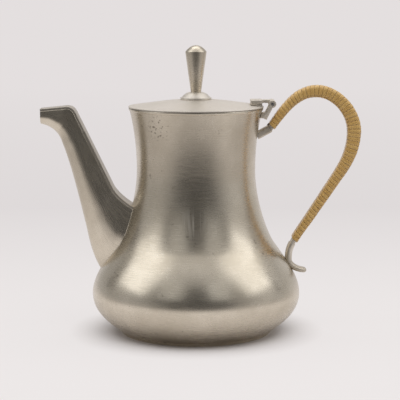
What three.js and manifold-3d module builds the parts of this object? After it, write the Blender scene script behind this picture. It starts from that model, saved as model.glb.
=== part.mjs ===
// A pewter coffee pot: a body spun in two halves, a channel spout, a hinged lid with a turned
// finial, and a bent metal handle wound with split cane.
// Millimetres, +Z up. The origin is the centre of the underside, where the pot stands.
// The spout points along -X, the handle along +X, and the hinge pin lies along Y.

import * as THREE from 'three';
import { mergeVertices } from 'three/addons/utils/BufferGeometryUtils.js';
import Module from 'manifold-3d';

const wasm = await Module();
wasm.setup();

// Clearances
const SOLDER_GAP = 0.3;
const LID_GAP = 0.3;
const PIN_GAP = 0.08;
const KNUCKLE_GAP = 0.3;
const STUD_GAP = 0.3;
const CANE_GAP = 0.3;

// Body
const WALL = 1.3;
const RIM_RADIUS = 46.4;
const RIM_HEIGHT = 157.3;
const RIM_FLARE = THREE.MathUtils.degToRad(13.8);
const RIM_BEAD = 0.9;
const RIM_BEAD_STAND = 0.5;
const NECK_RADIUS = 41.3;
const NECK_HEIGHT = 114;
const FLANK_RADIUS = 55.2;
const FLANK_HEIGHT = 62;
const FLANK_SLOPE = THREE.MathUtils.degToRad(35);
const FLANK_EASE = 10;
const BELLY_RADIUS = 72.7;
const BELLY_HEIGHT = 27.7;
const FOOT_RADIUS = 53.3;
const FOOT_BAND = 2;
const FOOT_FLARE = THREE.MathUtils.degToRad(33);
const FOOT_EDGE = 0.6;
const FOOT_RING = 5;
const BASE_THICKNESS = 1.5;
const BASE_LEDGE = 3;

// How far each end of an outline curve holds its direction, as a share of the curve's height
const MOUTH_FULLNESS = 0.35;
const NECK_FULLNESS = 0.385;
const BELLY_FULLNESS = 0.35;
const UNDERSIDE_FULLNESS = 0.46;

// Spout, with heights above the base and reaches from the pot's axis
const SPOUT_WALL = 1.2;
const SPOUT_ROOT_TOP = 88;
const SPOUT_ROOT_BOTTOM = 44.5;
const SPOUT_TUCK = 14;
const SPOUT_TUCK_DROP = 8.4;
const SPOUT_TIP_REACH = 107.7;
const SPOUT_TIP_TOP = 155.3;
const SPOUT_TIP_DEPTH = 9.1;
const SPOUT_SHOULDER_REACH = 86.1;
const SPOUT_SHOULDER_HEIGHT = 157.4;
const SPOUT_SHOULDER_BEND = 4;
const SPOUT_HEEL_REACH = 58.6;
const SPOUT_HEEL_HEIGHT = 100.5;
const SPOUT_KNEE_REACH = 76.5;
const SPOUT_KNEE_HEIGHT = 72.6;
const SPOUT_THROAT_REACH = 93;
const SPOUT_THROAT_HEIGHT = 133;
const SPOUT_ROOT_WIDTH = 26;
const SPOUT_KNEE_WIDTH = 24;
const SPOUT_WAIST_WIDTH = 19;
const SPOUT_SHOULDER_WIDTH = 16;
const SPOUT_TIP_WIDTH = 12.5;
const BACK_ROOT_WIDTH = 20;
const BACK_WAIST_WIDTH = 17;
const BACK_SHOULDER_WIDTH = 15;
const SPOUT_NAPE_SHARE = 0.7;
const SPOUT_BEND_SHARES = [0.4, 0.5];
const SPOUT_FRONT_ROUND = 0.6;
const STRAINER_THICKNESS = 0.8;
const STRAINER_HOLE = 3.2;
const STRAINER_PITCH = 6.4;
const STRAINER_MARGIN = 2.4;
const STRAINER_HOLE_SIDES = 8;

// Handle
const HANDLE_ROOT_HEIGHT = 138;
const HANDLE_ROOT_RISE = THREE.MathUtils.degToRad(29);
const HANDLE_ROOT_LENGTH = 10;
const HANDLE_CROWN_REACH = 83.8;
const HANDLE_CROWN_HEIGHT = 168.8;
const HANDLE_SIDE_REACH = 109.9;
const HANDLE_SIDE_HEIGHT = 141;
const HANDLE_LIMB_REACH = 98.3;
const HANDLE_LIMB_HEIGHT = 109;
const HANDLE_SHIN_REACH = 79.9;
const HANDLE_SHIN_HEIGHT = 81.2;
const HANDLE_WRAP_END_HEIGHT = 62;
const HANDLE_FOOT_HEIGHT = 51;
const HANDLE_FOOT_BITE = 0.6;
const HANDLE_ANKLE_OFFSET = 2.5;
const HANDLE_ANKLE_LEAN = THREE.MathUtils.degToRad(28);
const HANDLE_TAIL_LENGTH = 12.7;
const HANDLE_TAIL_DROP = 8;
const HANDLE_WIDTH = 9.5;
const HANDLE_TIP_WIDTH = 4.3;
const HANDLE_CHAMFER = 1.6;
const HANDLE_CHAMFER_SHARE = 0.3;
const CANE_WIDTH = 2.55;
const CANE_PITCH = 2.8;
const CANE_THICKNESS = 0.8;

// Thickness of the handle's bar: bare at the root, under the cane, and bare again at the foot
const ROOT_THICKNESS = 5;
const WRAP_START_THICKNESS = 3.4;
const CROWN_THICKNESS = 6.4;
const SIDE_THICKNESS = 7.4;
const LIMB_THICKNESS = 5.1;
const SHIN_THICKNESS = 3.9;
const WRAP_END_THICKNESS = 3.1;
const FOOT_THICKNESS = 4.9;
const TAIL_THICKNESS = 3.4;

// Control points of the spout's, handle's and lid's curves, as shares of the way from one end of
// the curve to the other, across and up
const FLARE_PULL = [0.66, 0.45];
const BOOT_PULL = [0.64, 0.34];
const SHIN_LOW_PULL = [0.26, 0.3];
const SHIN_TOP_PULL = [0.63, 0.75];
const UNDER_START_PULL = [0.14, 0.55];
const UNDER_END_PULL = [0.5, 0.88];
const ARCH_START_PULL = [0.36, 0.64];
const ARCH_END_PULL = [0.6, 1];
const CORNER_START_PULL = [0.5, 0];
const CORNER_END_PULL = [1, 0.5];
const LIMB_START_PULL = [0, 0.45];
const DOME_START_PULL = [0.3, 0.18];
const DOME_END_PULL = [0.7, 0.7];
const ROSETTE_PULL = [0.4, 0.84];
const KNOB_DOME_START_PULL = [0.16, 0.72];
const KNOB_DOME_END_PULL = [0.57, 1];

// How far a curve of the handle holds its direction, as a share of its height
const LIMB_EASE = 0.3;
const ANKLE_EASE = 0.4;
const FOOT_EASE = 0.35;
const QUARTER_TURN = 0.55;

// Hinge
const HINGE_OFFSET = 6.4;
const HINGE_LIFT = 3;
const HINGE_WIDTH = 17;
const BARREL_RADIUS = 2.6;
const PIN_RADIUS = 1.15;
const PIN_HEAD = 0.35;
const MIDDLE_KNUCKLE = 7;
const LEAF_THICKNESS = 2.1;
const LEAF_NOTCH = 4.4;
const LEAF_MARGIN = 0.2;
const LID_LEAF_LENGTH = 15;
const BODY_LEAF_LENGTH = 11.6;
const BODY_LEAF_LEAN = THREE.MathUtils.degToRad(27);
const BODY_LEAF_PAD = 4;
const LID_LEAF_PAD = 4.5;
const LEAF_SLOPE = 1;

// Lid and finial
const LID_OVERHANG = 0.5;
const LID_EDGE = 0.8;
const LID_RISE = 4.6;
const LID_SHEET = 1.2;
const LID_FLANGE = 5.6;
const LID_FLANGE_SLOPE = 1;
const LID_SEAT_MARGIN = 0.8;
const BEZEL_DEPTH = 7;
const BEZEL_WALL = 1.2;
const BEZEL_CLEARANCE = 0.7;
const ROSETTE_RADIUS = 10.8;
const ROSETTE_EDGE = 1.5;
const ROSETTE_HEIGHT = 5.2;
const ROSETTE_TOP_RADIUS = 4.2;
const ROSETTE_LEDGE = 0.9;
const ROSETTE_BEVEL = 0.35;
const KNOB_FOOT_RADIUS = 3.6;
const KNOB_TOP_RADIUS = 7.4;
const KNOB_HEIGHT = 27.8;
const KNOB_DOME = 4.5;
const KNOB_BEVEL = 0.4;
const STUD_RADIUS = 1.5;
const STUD_REACH = 10;
const STUD_END = 1;
const WASHER_RADIUS = 4;
const WASHER_THICKNESS = 0.6;
const NUT_WIDTH = 5.5;
const NUT_HEIGHT = 2.4;

// Facets
const BODY_SEGMENTS = 44;
const SMALL_SEGMENTS = 20;
const BORE_SEGMENTS = 16;
const MOUTH_STEPS = 5;
const WAIST_STEPS = 6;
const HIP_STEPS = 5;
const UNDERSIDE_STEPS = 6;
const BEAD_STEPS = 3;
const ARC_STEPS = 8;
const DOME_STEPS = 4;
const ROSETTE_STEPS = 4;
const RAIL_STEPS = 24;
const RAIL_STRIDE = 4;
const BAR_CORNERS = 8;

const point = (x, z) => new THREE.Vector2(x, z);
const cubic = (a, b, c, d) => new THREE.CubicBezierCurve(a, b, c, d);
const quadratic = (a, b, c) => new THREE.QuadraticBezierCurve(a, b, c);

// The point that lies the given shares of the way from one point to another, across and up.
const between = (from, to, [across, up]) => point(
  THREE.MathUtils.lerp(from.x, to.x, across),
  THREE.MathUtils.lerp(from.y, to.y, up),
);

// Solids

// Joins shared corners, drops empty triangles and turns every face outwards.
function closedMesh(positions, triangles) {
  const geometry = new THREE.BufferGeometry();
  geometry.setAttribute('position', new THREE.Float32BufferAttribute(positions, 3));
  geometry.setIndex(triangles);
  const merged = mergeVertices(geometry);
  const place = merged.getAttribute('position');
  const source = merged.getIndex().array;
  const kept = [];
  for (let i = 0; i < source.length; i += 3) {
    const [a, b, c] = [source[i], source[i + 1], source[i + 2]];
    if (a !== b && b !== c && c !== a) {
      kept.push(a, b, c);
    }
  }
  if (signedVolume(place, kept) < 0) {
    kept.reverse();
  }
  return new wasm.Mesh({
    numProp: 3,
    vertProperties: new Float32Array(place.array),
    triVerts: Uint32Array.from(kept),
  });
}

function signedVolume(place, triangles) {
  const corners = [new THREE.Vector3(), new THREE.Vector3(), new THREE.Vector3()];
  let volume = 0;
  for (let i = 0; i < triangles.length; i += 3) {
    corners.forEach((corner, k) => corner.fromBufferAttribute(place, triangles[i + k]));
    volume += corners[0].dot(corners[1].cross(corners[2])) / 6;
  }
  return volume;
}

function solid(positions, triangles) {
  return new wasm.Manifold(closedMesh(positions, triangles));
}

// Turns an outline of (radius, height) points about the pot's axis.
function revolve(outline, segments) {
  const closed = outline[0].x === 0 ? outline : [...outline, outline[0].clone()];
  const geometry = new THREE.LatheGeometry(closed, segments);
  geometry.rotateX(Math.PI / 2);
  return solid(geometry.getAttribute('position').array, [...geometry.getIndex().array]);
}

// Skins a row of sections, each a closed loop of as many points, and caps both ends.
// A section holds its flat loop and its corners in space.
function loft(sections) {
  const count = sections[0].loop.length;
  const positions = sections.flatMap((section) => section.corners.flatMap((corner) => corner.toArray()));
  const triangles = [];
  for (let i = 0; i + 1 < sections.length; i += 1) {
    for (let j = 0; j < count; j += 1) {
      const a = i * count + j;
      const b = i * count + ((j + 1) % count);
      triangles.push(a, b, b + count, a, b + count, a + count);
    }
  }
  const last = (sections.length - 1) * count;
  for (const [a, b, c] of THREE.ShapeUtils.triangulateShape(sections[0].loop, [])) {
    triangles.push(c, b, a);
  }
  for (const [a, b, c] of THREE.ShapeUtils.triangulateShape(sections.at(-1).loop, [])) {
    triangles.push(last + a, last + b, last + c);
  }
  return solid(positions, triangles);
}

// A flat loop in the X-Z plane, counter-clockwise in X and Z, given its thickness along Y.
function slab(loop, fromY, toY) {
  const section = (y) => ({ loop, corners: loop.map((corner) => new THREE.Vector3(corner.x, y, corner.y)) });
  return loft([section(toY), section(fromY)]);
}

function circle(centre, radius, segments) {
  const loop = [];
  for (let i = 0; i < segments; i += 1) {
    const angle = (2 * Math.PI * i) / segments;
    loop.push(point(centre.x + radius * Math.cos(angle), centre.y + radius * Math.sin(angle)));
  }
  return loop;
}

function piece(name, manifold, material) {
  const cut = manifold.getMesh();
  const geometry = new THREE.BufferGeometry();
  geometry.setAttribute('position', new THREE.BufferAttribute(cut.vertProperties, 3));
  geometry.setIndex(new THREE.BufferAttribute(cut.triVerts, 1));
  geometry.computeVertexNormals();
  const mesh = new THREE.Mesh(geometry, material);
  mesh.name = name;
  return mesh;
}

const pewter = () => new THREE.MeshStandardMaterial({ color: 0x9d9a92, roughness: 0.36, metalness: 0.95 });
const steel = () => new THREE.MeshStandardMaterial({ color: 0x8b8986, roughness: 0.3, metalness: 1 });
const cane = () => new THREE.MeshStandardMaterial({ color: 0xc99f58, roughness: 0.5, metalness: 0 });

// Body

function sample(curves, steps) {
  const points = [curves[0].getPoint(0)];
  curves.forEach((curve, i) => points.push(...curve.getPoints(steps[i]).slice(1)));
  return points;
}

// The outer outline from the mouth down to the widest line.
function upperOutline() {
  const rim = point(RIM_RADIUS, RIM_HEIGHT);
  const neck = point(NECK_RADIUS, NECK_HEIGHT);
  const flank = point(FLANK_RADIUS, FLANK_HEIGHT);
  const belly = point(BELLY_RADIUS, BELLY_HEIGHT);
  const flare = point(Math.sin(RIM_FLARE), Math.cos(RIM_FLARE));
  const slope = point(Math.sin(FLANK_SLOPE), -Math.cos(FLANK_SLOPE));
  const mouthPull = MOUTH_FULLNESS * (rim.y - neck.y);
  const mouth = cubic(
    rim,
    rim.clone().addScaledVector(flare, -mouthPull),
    point(neck.x, neck.y + mouthPull),
    neck,
  );
  const waist = cubic(
    neck,
    point(neck.x, neck.y - NECK_FULLNESS * (neck.y - flank.y)),
    flank.clone().addScaledVector(slope, -FLANK_EASE),
    flank,
  );
  const hip = cubic(
    flank,
    flank.clone().addScaledVector(slope, FLANK_EASE),
    point(belly.x, belly.y + BELLY_FULLNESS * (flank.y - belly.y)),
    belly,
  );
  return sample([mouth, waist, hip], [MOUTH_STEPS, WAIST_STEPS, HIP_STEPS]);
}

// The outer outline from the widest line down to the foot.
function lowerOutline() {
  const belly = point(BELLY_RADIUS, BELLY_HEIGHT);
  const foot = point(FOOT_RADIUS, FOOT_BAND);
  const pull = UNDERSIDE_FULLNESS * (BELLY_HEIGHT - FOOT_BAND);
  const under = cubic(
    belly,
    point(belly.x, belly.y - pull),
    point(foot.x + pull * Math.cos(FOOT_FLARE), foot.y + pull * Math.sin(FOOT_FLARE)),
    foot,
  );
  return sample([under], [UNDERSIDE_STEPS]);
}

// Moves an outline that runs downwards sideways, towards the axis where the distance is positive.
function inset(outline, distance) {
  return outline.map((corner, i) => {
    const before = outline[Math.max(i - 1, 0)];
    const after = outline[Math.min(i + 1, outline.length - 1)];
    const along = after.clone().sub(before).normalize();
    return point(corner.x + distance * along.y, corner.y - distance * along.x);
  });
}

const UPPER = upperOutline();
const LOWER = lowerOutline();

// The body's outer radius at a height.
function wallRadius(height) {
  const outline = [...UPPER, ...LOWER.slice(1)];
  for (let i = 0; i + 1 < outline.length; i += 1) {
    const [above, below] = [outline[i], outline[i + 1]];
    if (height <= above.y && height >= below.y) {
      return THREE.MathUtils.mapLinear(height, below.y, above.y, below.x, above.x);
    }
  }
  return height > RIM_HEIGHT ? RIM_RADIUS : FOOT_RADIUS;
}

// The filled body, a solder gap larger all round, for cutting what is soldered on.
function bodyCutter() {
  const outline = inset([...UPPER, ...LOWER.slice(1)], -SOLDER_GAP);
  const top = point(0, outline[0].y);
  const bottom = point(0, 0);
  const foot = point(outline.at(-1).x, 0);
  return revolve([bottom, foot, ...outline.reverse(), top], BODY_SEGMENTS);
}

// A half-round bead that stands out of the wall just under the rim.
function rimBead() {
  const bead = [];
  for (let i = 1; i < BEAD_STEPS; i += 1) {
    const angle = (Math.PI * i) / BEAD_STEPS;
    const height = RIM_HEIGHT - RIM_BEAD * (1 - Math.cos(angle));
    bead.push(point(wallRadius(height) + RIM_BEAD_STAND * Math.sin(angle), height));
  }
  return bead;
}

function upperShell() {
  const beadFoot = RIM_HEIGHT - 2 * RIM_BEAD;
  const outer = [UPPER[0], ...rimBead(), point(wallRadius(beadFoot), beadFoot), ...UPPER.slice(1)];
  const inner = inset(UPPER, WALL).filter((corner, i) => i % 2 === 0);
  inner[0] = point(inner[0].x, RIM_HEIGHT);
  inner[inner.length - 1] = point(BELLY_RADIUS - WALL, BELLY_HEIGHT);
  return revolve([...inner, ...outer.reverse()], BODY_SEGMENTS);
}

function lowerShell() {
  const inner = inset(LOWER, WALL).filter((corner, i) => i < LOWER.length - 2);
  inner[0] = point(BELLY_RADIUS - WALL, BELLY_HEIGHT);
  const seat = FOOT_RADIUS - FOOT_RING;
  const ledge = seat - BASE_LEDGE;
  const ring = [
    point(ledge, BASE_THICKNESS + WALL),
    point(ledge, BASE_THICKNESS),
    point(seat, BASE_THICKNESS),
    point(seat, 0),
    point(FOOT_RADIUS - FOOT_EDGE, 0),
  ];
  return revolve([...inner, ...ring, ...[...LOWER].reverse()], BODY_SEGMENTS);
}

function basePlate() {
  const edge = FOOT_RADIUS - FOOT_RING - SOLDER_GAP;
  return revolve(
    [point(0, 0), point(edge, 0), point(edge, BASE_THICKNESS), point(0, BASE_THICKNESS)],
    BODY_SEGMENTS,
  );
}

// Spout

// Part of a curve, as a curve of its own.
function part(curve, from, to) {
  return { getPoint: (t) => curve.getPoint(THREE.MathUtils.lerp(from, to, t)) };
}

// Stretches of the spout from inside the body to the tip. Each has the line of its back and of its
// front, and its widths at both ends: across the front's bulge and across the back plate.
function spoutStretches() {
  const rootTop = point(-wallRadius(SPOUT_ROOT_TOP), SPOUT_ROOT_TOP);
  const rootLow = point(-wallRadius(SPOUT_ROOT_BOTTOM), SPOUT_ROOT_BOTTOM);
  const tuckTop = point(rootTop.x + SPOUT_TUCK, rootTop.y - SPOUT_TUCK_DROP);
  const tuckLow = point(rootLow.x + SPOUT_TUCK, rootLow.y - SPOUT_TUCK_DROP);
  const heel = point(-SPOUT_HEEL_REACH, SPOUT_HEEL_HEIGHT);
  const knee = point(-SPOUT_KNEE_REACH, SPOUT_KNEE_HEIGHT);
  const throat = point(-SPOUT_THROAT_REACH, SPOUT_THROAT_HEIGHT);
  const shoulder = point(-SPOUT_SHOULDER_REACH, SPOUT_SHOULDER_HEIGHT);
  const tip = point(-SPOUT_TIP_REACH, SPOUT_TIP_TOP);
  const lip = point(-SPOUT_TIP_REACH, SPOUT_TIP_TOP - SPOUT_TIP_DEPTH);
  const beforeBend = shoulder.clone().lerp(heel, SPOUT_SHOULDER_BEND / shoulder.distanceTo(heel));
  const afterBend = shoulder.clone().lerp(tip, SPOUT_SHOULDER_BEND / shoulder.distanceTo(tip));
  const nape = heel.clone().lerp(beforeBend, SPOUT_NAPE_SHARE);
  const flare = quadratic(rootTop, between(rootTop, heel, FLARE_PULL), heel);
  const boot = quadratic(rootLow, between(rootLow, knee, BOOT_PULL), knee);
  const shinLow = between(knee, throat, SHIN_LOW_PULL);
  const shinTop = between(knee, throat, SHIN_TOP_PULL);
  const shin = cubic(knee, shinLow, shinTop, throat);
  const underStart = between(throat, lip, UNDER_START_PULL);
  const underEnd = between(throat, lip, UNDER_END_PULL);
  const under = cubic(throat, underStart, underEnd, lip);
  const [bendFrom, bendTo] = SPOUT_BEND_SHARES;
  const root = [SPOUT_ROOT_WIDTH, BACK_ROOT_WIDTH];
  const atKnee = [SPOUT_KNEE_WIDTH, BACK_ROOT_WIDTH];
  const atWaist = [SPOUT_WAIST_WIDTH, BACK_WAIST_WIDTH];
  const atShoulder = [SPOUT_SHOULDER_WIDTH, BACK_SHOULDER_WIDTH];
  const atTip = [SPOUT_TIP_WIDTH, SPOUT_TIP_WIDTH];
  const bend = quadratic(beforeBend, shoulder, afterBend);
  const line = (from, to) => new THREE.LineCurve(from, to);
  return [
    { back: line(tuckTop, rootTop), front: line(tuckLow, rootLow), steps: 2, widths: [root, root] },
    { back: flare, front: boot, steps: 6, widths: [root, atKnee] },
    { back: line(heel, nape), front: shin, steps: 6, widths: [atKnee, atWaist] },
    { back: line(nape, beforeBend), front: part(under, 0, bendFrom), steps: 2, widths: [atWaist, atShoulder] },
    { back: bend, front: part(under, bendFrom, bendTo), steps: 4, widths: [atShoulder, atShoulder] },
    { back: line(afterBend, tip), front: part(under, bendTo, 1), steps: 5, widths: [atShoulder, atTip] },
  ];
}

// Where the spout's sections lie: the back point, the front point and the two half widths of each.
function spoutStations() {
  const stations = [];
  spoutStretches().forEach((stretch, i) => {
    for (let step = i === 0 ? 0 : 1; step <= stretch.steps; step += 1) {
      const t = step / stretch.steps;
      const [from, to] = stretch.widths;
      stations.push({
        back: stretch.back.getPoint(t),
        front: stretch.front.getPoint(t),
        bulge: THREE.MathUtils.lerp(from[0], to[0], t) / 2,
        plate: THREE.MathUtils.lerp(from[1], to[1], t) / 2,
      });
    }
  });
  return stations;
}

const SPOUT = spoutStations();

// One side of the channel and its rounded front, then the other side, as (depth, across) points.
function channelPath(station, thickness) {
  const depth = station.back.distanceTo(station.front);
  const round = Math.min(station.bulge, SPOUT_FRONT_ROUND * depth);
  const path = [point(0, -(station.plate - thickness))];
  for (let i = 0; i <= ARC_STEPS; i += 1) {
    const angle = -Math.PI / 2 + (Math.PI * i) / ARC_STEPS;
    path.push(point(
      depth - round + (round - thickness) * Math.cos(angle),
      (station.bulge - thickness) * Math.sin(angle),
    ));
  }
  path.push(point(0, station.plate - thickness));
  return path;
}

// Stands a loop of (depth, across) points up between a station's back and front.
function standing(station, loop) {
  const along = station.front.clone().sub(station.back).normalize();
  const corners = loop.map((corner) => new THREE.Vector3(
    station.back.x + corner.x * along.x,
    corner.y,
    station.back.y + corner.x * along.y,
  ));
  return { loop, corners };
}

function spoutChannel(cutter) {
  const sections = SPOUT.map((station) => {
    const outer = channelPath(station, 0);
    const inner = channelPath(station, SPOUT_WALL).reverse();
    return standing(station, [...outer, ...inner]);
  });
  return loft(sections).subtract(cutter);
}

// The channel's hollow, as a solid that cuts the opening in the wall.
function spoutHollow() {
  const outside = SPOUT.findIndex((station) => station.back.y > SPOUT_HEEL_HEIGHT);
  const sections = SPOUT.slice(0, outside + 1);
  return loft(sections.map((station) => standing(station, channelPath(station, SPOUT_WALL))));
}

function spoutBackPlate(cutter) {
  const sections = SPOUT.map((station, i) => {
    const before = SPOUT[Math.max(i - 1, 0)].back;
    const after = SPOUT[Math.min(i + 1, SPOUT.length - 1)].back;
    const along = after.clone().sub(before).normalize();
    const out = point(along.y, -along.x);
    const near = station.back.clone().addScaledVector(out, SOLDER_GAP);
    const far = near.clone().addScaledVector(out, SPOUT_WALL);
    const corner = (place, across) => new THREE.Vector3(place.x, across, place.y);
    return {
      loop: [point(0, -1), point(1, -1), point(1, 1), point(0, 1)],
      corners: [corner(near, -station.plate), corner(far, -station.plate),
        corner(far, station.plate), corner(near, station.plate)],
    };
  });
  return loft(sections).subtract(cutter);
}

// The pierced plate behind the opening: a patch of the wall's inner surface.
function spoutStrainer() {
  const outline = inset(UPPER, WALL + SOLDER_GAP).slice(MOUTH_STEPS);
  const inner = inset(UPPER, WALL + SOLDER_GAP + STRAINER_THICKNESS).slice(MOUTH_STEPS);
  const sheet = revolve([...inner, ...outline.reverse()], BODY_SEGMENTS);
  const middle = (SPOUT_ROOT_TOP + SPOUT_ROOT_BOTTOM) / 2;
  const tall = (SPOUT_ROOT_TOP - SPOUT_ROOT_BOTTOM) / 2 + STRAINER_MARGIN;
  const wide = SPOUT_ROOT_WIDTH / 2 + STRAINER_MARGIN;
  const oval = acrossX(circle(point(0, 0), 1, SMALL_SEGMENTS).map((corner) => (
    point(wide * corner.x, middle + tall * corner.y))));
  let plate = sheet.intersect(oval);
  for (const hole of strainerHoles(middle, tall - 2 * STRAINER_MARGIN, wide - 2 * STRAINER_MARGIN)) {
    plate = plate.subtract(acrossX(circle(hole, STRAINER_HOLE / 2, STRAINER_HOLE_SIDES)));
  }
  return plate;
}

// A loop of (Y, Z) points drawn out towards the spout, from the axis to past the wall.
function acrossX(loop) {
  const section = (x) => ({ loop, corners: loop.map((corner) => new THREE.Vector3(x, corner.x, corner.y)) });
  return loft([section(-BELLY_RADIUS), section(0)]);
}

// Centres of the holes in staggered rows inside an oval.
function strainerHoles(middle, tall, wide) {
  const holes = [];
  const rowPitch = STRAINER_PITCH * Math.sin(Math.PI / 3);
  const rows = Math.floor(tall / rowPitch);
  const columns = Math.ceil(wide / STRAINER_PITCH);
  for (let row = -rows; row <= rows; row += 1) {
    const stagger = row % 2 === 0 ? 0 : STRAINER_PITCH / 2;
    for (let column = -columns; column <= columns; column += 1) {
      const y = column * STRAINER_PITCH + stagger;
      const z = row * rowPitch;
      if ((y / wide) ** 2 + (z / tall) ** 2 <= 1) {
        holes.push(point(y, middle + z));
      }
    }
  }
  return holes;
}

// Handle

// The bar's centre line, with its thickness at both ends of each stretch.
function handleStretches() {
  const rise = point(Math.cos(HANDLE_ROOT_RISE), Math.sin(HANDLE_ROOT_RISE));
  const wall = point(wallRadius(HANDLE_ROOT_HEIGHT), HANDLE_ROOT_HEIGHT);
  const inside = wall.clone().addScaledVector(rise, -HANDLE_ROOT_LENGTH / 2);
  const bend = wall.clone().addScaledVector(rise, HANDLE_ROOT_LENGTH);
  const crown = point(HANDLE_CROWN_REACH, HANDLE_CROWN_HEIGHT);
  const side = point(HANDLE_SIDE_REACH, HANDLE_SIDE_HEIGHT);
  const limb = point(HANDLE_LIMB_REACH, HANDLE_LIMB_HEIGHT);
  const shin = point(HANDLE_SHIN_REACH, HANDLE_SHIN_HEIGHT);
  const slope = limb.clone().sub(shin).normalize();
  const footX = wallRadius(HANDLE_FOOT_HEIGHT) + FOOT_THICKNESS / 2 - HANDLE_FOOT_BITE;
  const foot = point(footX, HANDLE_FOOT_HEIGHT);
  const ankle = point(footX + HANDLE_ANKLE_OFFSET, HANDLE_WRAP_END_HEIGHT);
  const lean = point(Math.sin(HANDLE_ANKLE_LEAN), Math.cos(HANDLE_ANKLE_LEAN));
  const tail = point(foot.x + HANDLE_TAIL_LENGTH, foot.y - HANDLE_TAIL_DROP);
  const arch = cubic(
    bend,
    between(bend, crown, ARCH_START_PULL),
    between(bend, crown, ARCH_END_PULL),
    crown,
  );
  const corner = cubic(
    crown,
    between(crown, side, CORNER_START_PULL),
    between(crown, side, CORNER_END_PULL),
    side,
  );
  const upperLimb = cubic(
    side,
    between(side, limb, LIMB_START_PULL),
    limb.clone().addScaledVector(slope, LIMB_EASE * (side.y - limb.y)),
    limb,
  );
  const lowerLimb = cubic(
    shin,
    shin.clone().addScaledVector(slope, -LIMB_EASE * (shin.y - ankle.y)),
    ankle.clone().addScaledVector(lean, ANKLE_EASE * (shin.y - ankle.y)),
    ankle,
  );
  const instep = cubic(
    ankle,
    ankle.clone().addScaledVector(lean, -ANKLE_EASE * (ankle.y - foot.y)),
    point(foot.x, foot.y + FOOT_EASE * (ankle.y - foot.y)),
    foot,
  );
  const curl = cubic(
    foot,
    point(foot.x, foot.y - QUARTER_TURN * HANDLE_TAIL_DROP),
    point(tail.x - QUARTER_TURN * HANDLE_TAIL_LENGTH, tail.y),
    tail,
  );
  const line = (from, to) => new THREE.LineCurve(from, to);
  return [
    { curve: line(inside, wall), thick: [ROOT_THICKNESS, ROOT_THICKNESS] },
    { curve: line(wall, bend), thick: [ROOT_THICKNESS, ROOT_THICKNESS] },
    { curve: arch, thick: [WRAP_START_THICKNESS, CROWN_THICKNESS], wrapped: true },
    { curve: corner, thick: [CROWN_THICKNESS, SIDE_THICKNESS], wrapped: true },
    { curve: upperLimb, thick: [SIDE_THICKNESS, LIMB_THICKNESS], wrapped: true },
    { curve: line(limb, shin), thick: [LIMB_THICKNESS, SHIN_THICKNESS], wrapped: true },
    { curve: lowerLimb, thick: [SHIN_THICKNESS, WRAP_END_THICKNESS], wrapped: true },
    { curve: instep, thick: [FOOT_THICKNESS, FOOT_THICKNESS] },
    { curve: curl, thick: [FOOT_THICKNESS, TAIL_THICKNESS] },
  ];
}

// The bar's line as close steps, each with its place, direction and thickness.
function handleRail() {
  const rail = [];
  let length = 0;
  for (const stretch of handleStretches()) {
    for (let i = 0; i <= RAIL_STEPS; i += 1) {
      const t = i / RAIL_STEPS;
      const place = stretch.curve.getPoint(t);
      const before = rail.at(-1);
      length += before ? before.place.distanceTo(place) : 0;
      rail.push({
        length,
        place,
        along: stretch.curve.getTangent(t),
        thick: THREE.MathUtils.lerp(stretch.thick[0], stretch.thick[1], t),
        wrapped: Boolean(stretch.wrapped),
      });
    }
  }
  return rail;
}

const RAIL = handleRail();

function railAt(length) {
  const next = Math.max(1, RAIL.findIndex((step) => step.length > length));
  const [a, b] = [RAIL[next - 1], RAIL[next]];
  const t = (length - a.length) / (b.length - a.length);
  return {
    place: a.place.clone().lerp(b.place, t),
    along: a.along.clone().lerp(b.along, t).normalize(),
    thick: THREE.MathUtils.lerp(a.thick, b.thick, t),
  };
}

// The bar's chamfered section as (across the bar's plane, along Y) points, grown by an offset.
function barLoop(thick, wide, offset) {
  const a = thick / 2 + offset;
  const b = wide / 2 + offset;
  const c = Math.min(HANDLE_CHAMFER, HANDLE_CHAMFER_SHARE * thick) + (2 - Math.SQRT2) * offset;
  return [
    point(-a, -b + c), point(-a + c, -b), point(a - c, -b), point(a, -b + c),
    point(a, b - c), point(a - c, b), point(-a + c, b), point(-a, b - c),
  ];
}

// A point beside the bar's line, moved by its section's coordinates.
function besideRail(step, corner) {
  return new THREE.Vector3(
    step.place.x - corner.x * step.along.y,
    corner.y,
    step.place.y + corner.x * step.along.x,
  );
}

function handleBar(cutter) {
  const every = RAIL.filter((step, i) => i % (RAIL_STEPS + 1) % RAIL_STRIDE === 0);
  const kept = every.filter((step, i) => i === 0 || step.length - every[i - 1].length > 1e-6
    || step.thick !== every[i - 1].thick);
  const end = kept.at(-1).length;
  const sections = kept.map((step) => {
    const past = Math.max(0, 1 - (2 * (end - step.length)) / HANDLE_WIDTH);
    const width = THREE.MathUtils.lerp(HANDLE_TIP_WIDTH, HANDLE_WIDTH, Math.sqrt(1 - past ** 2));
    const loop = barLoop(step.thick, width, 0);
    return { loop, corners: loop.map((corner) => besideRail(step, corner)) };
  });
  return loft(sections).subtract(cutter);
}

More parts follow.
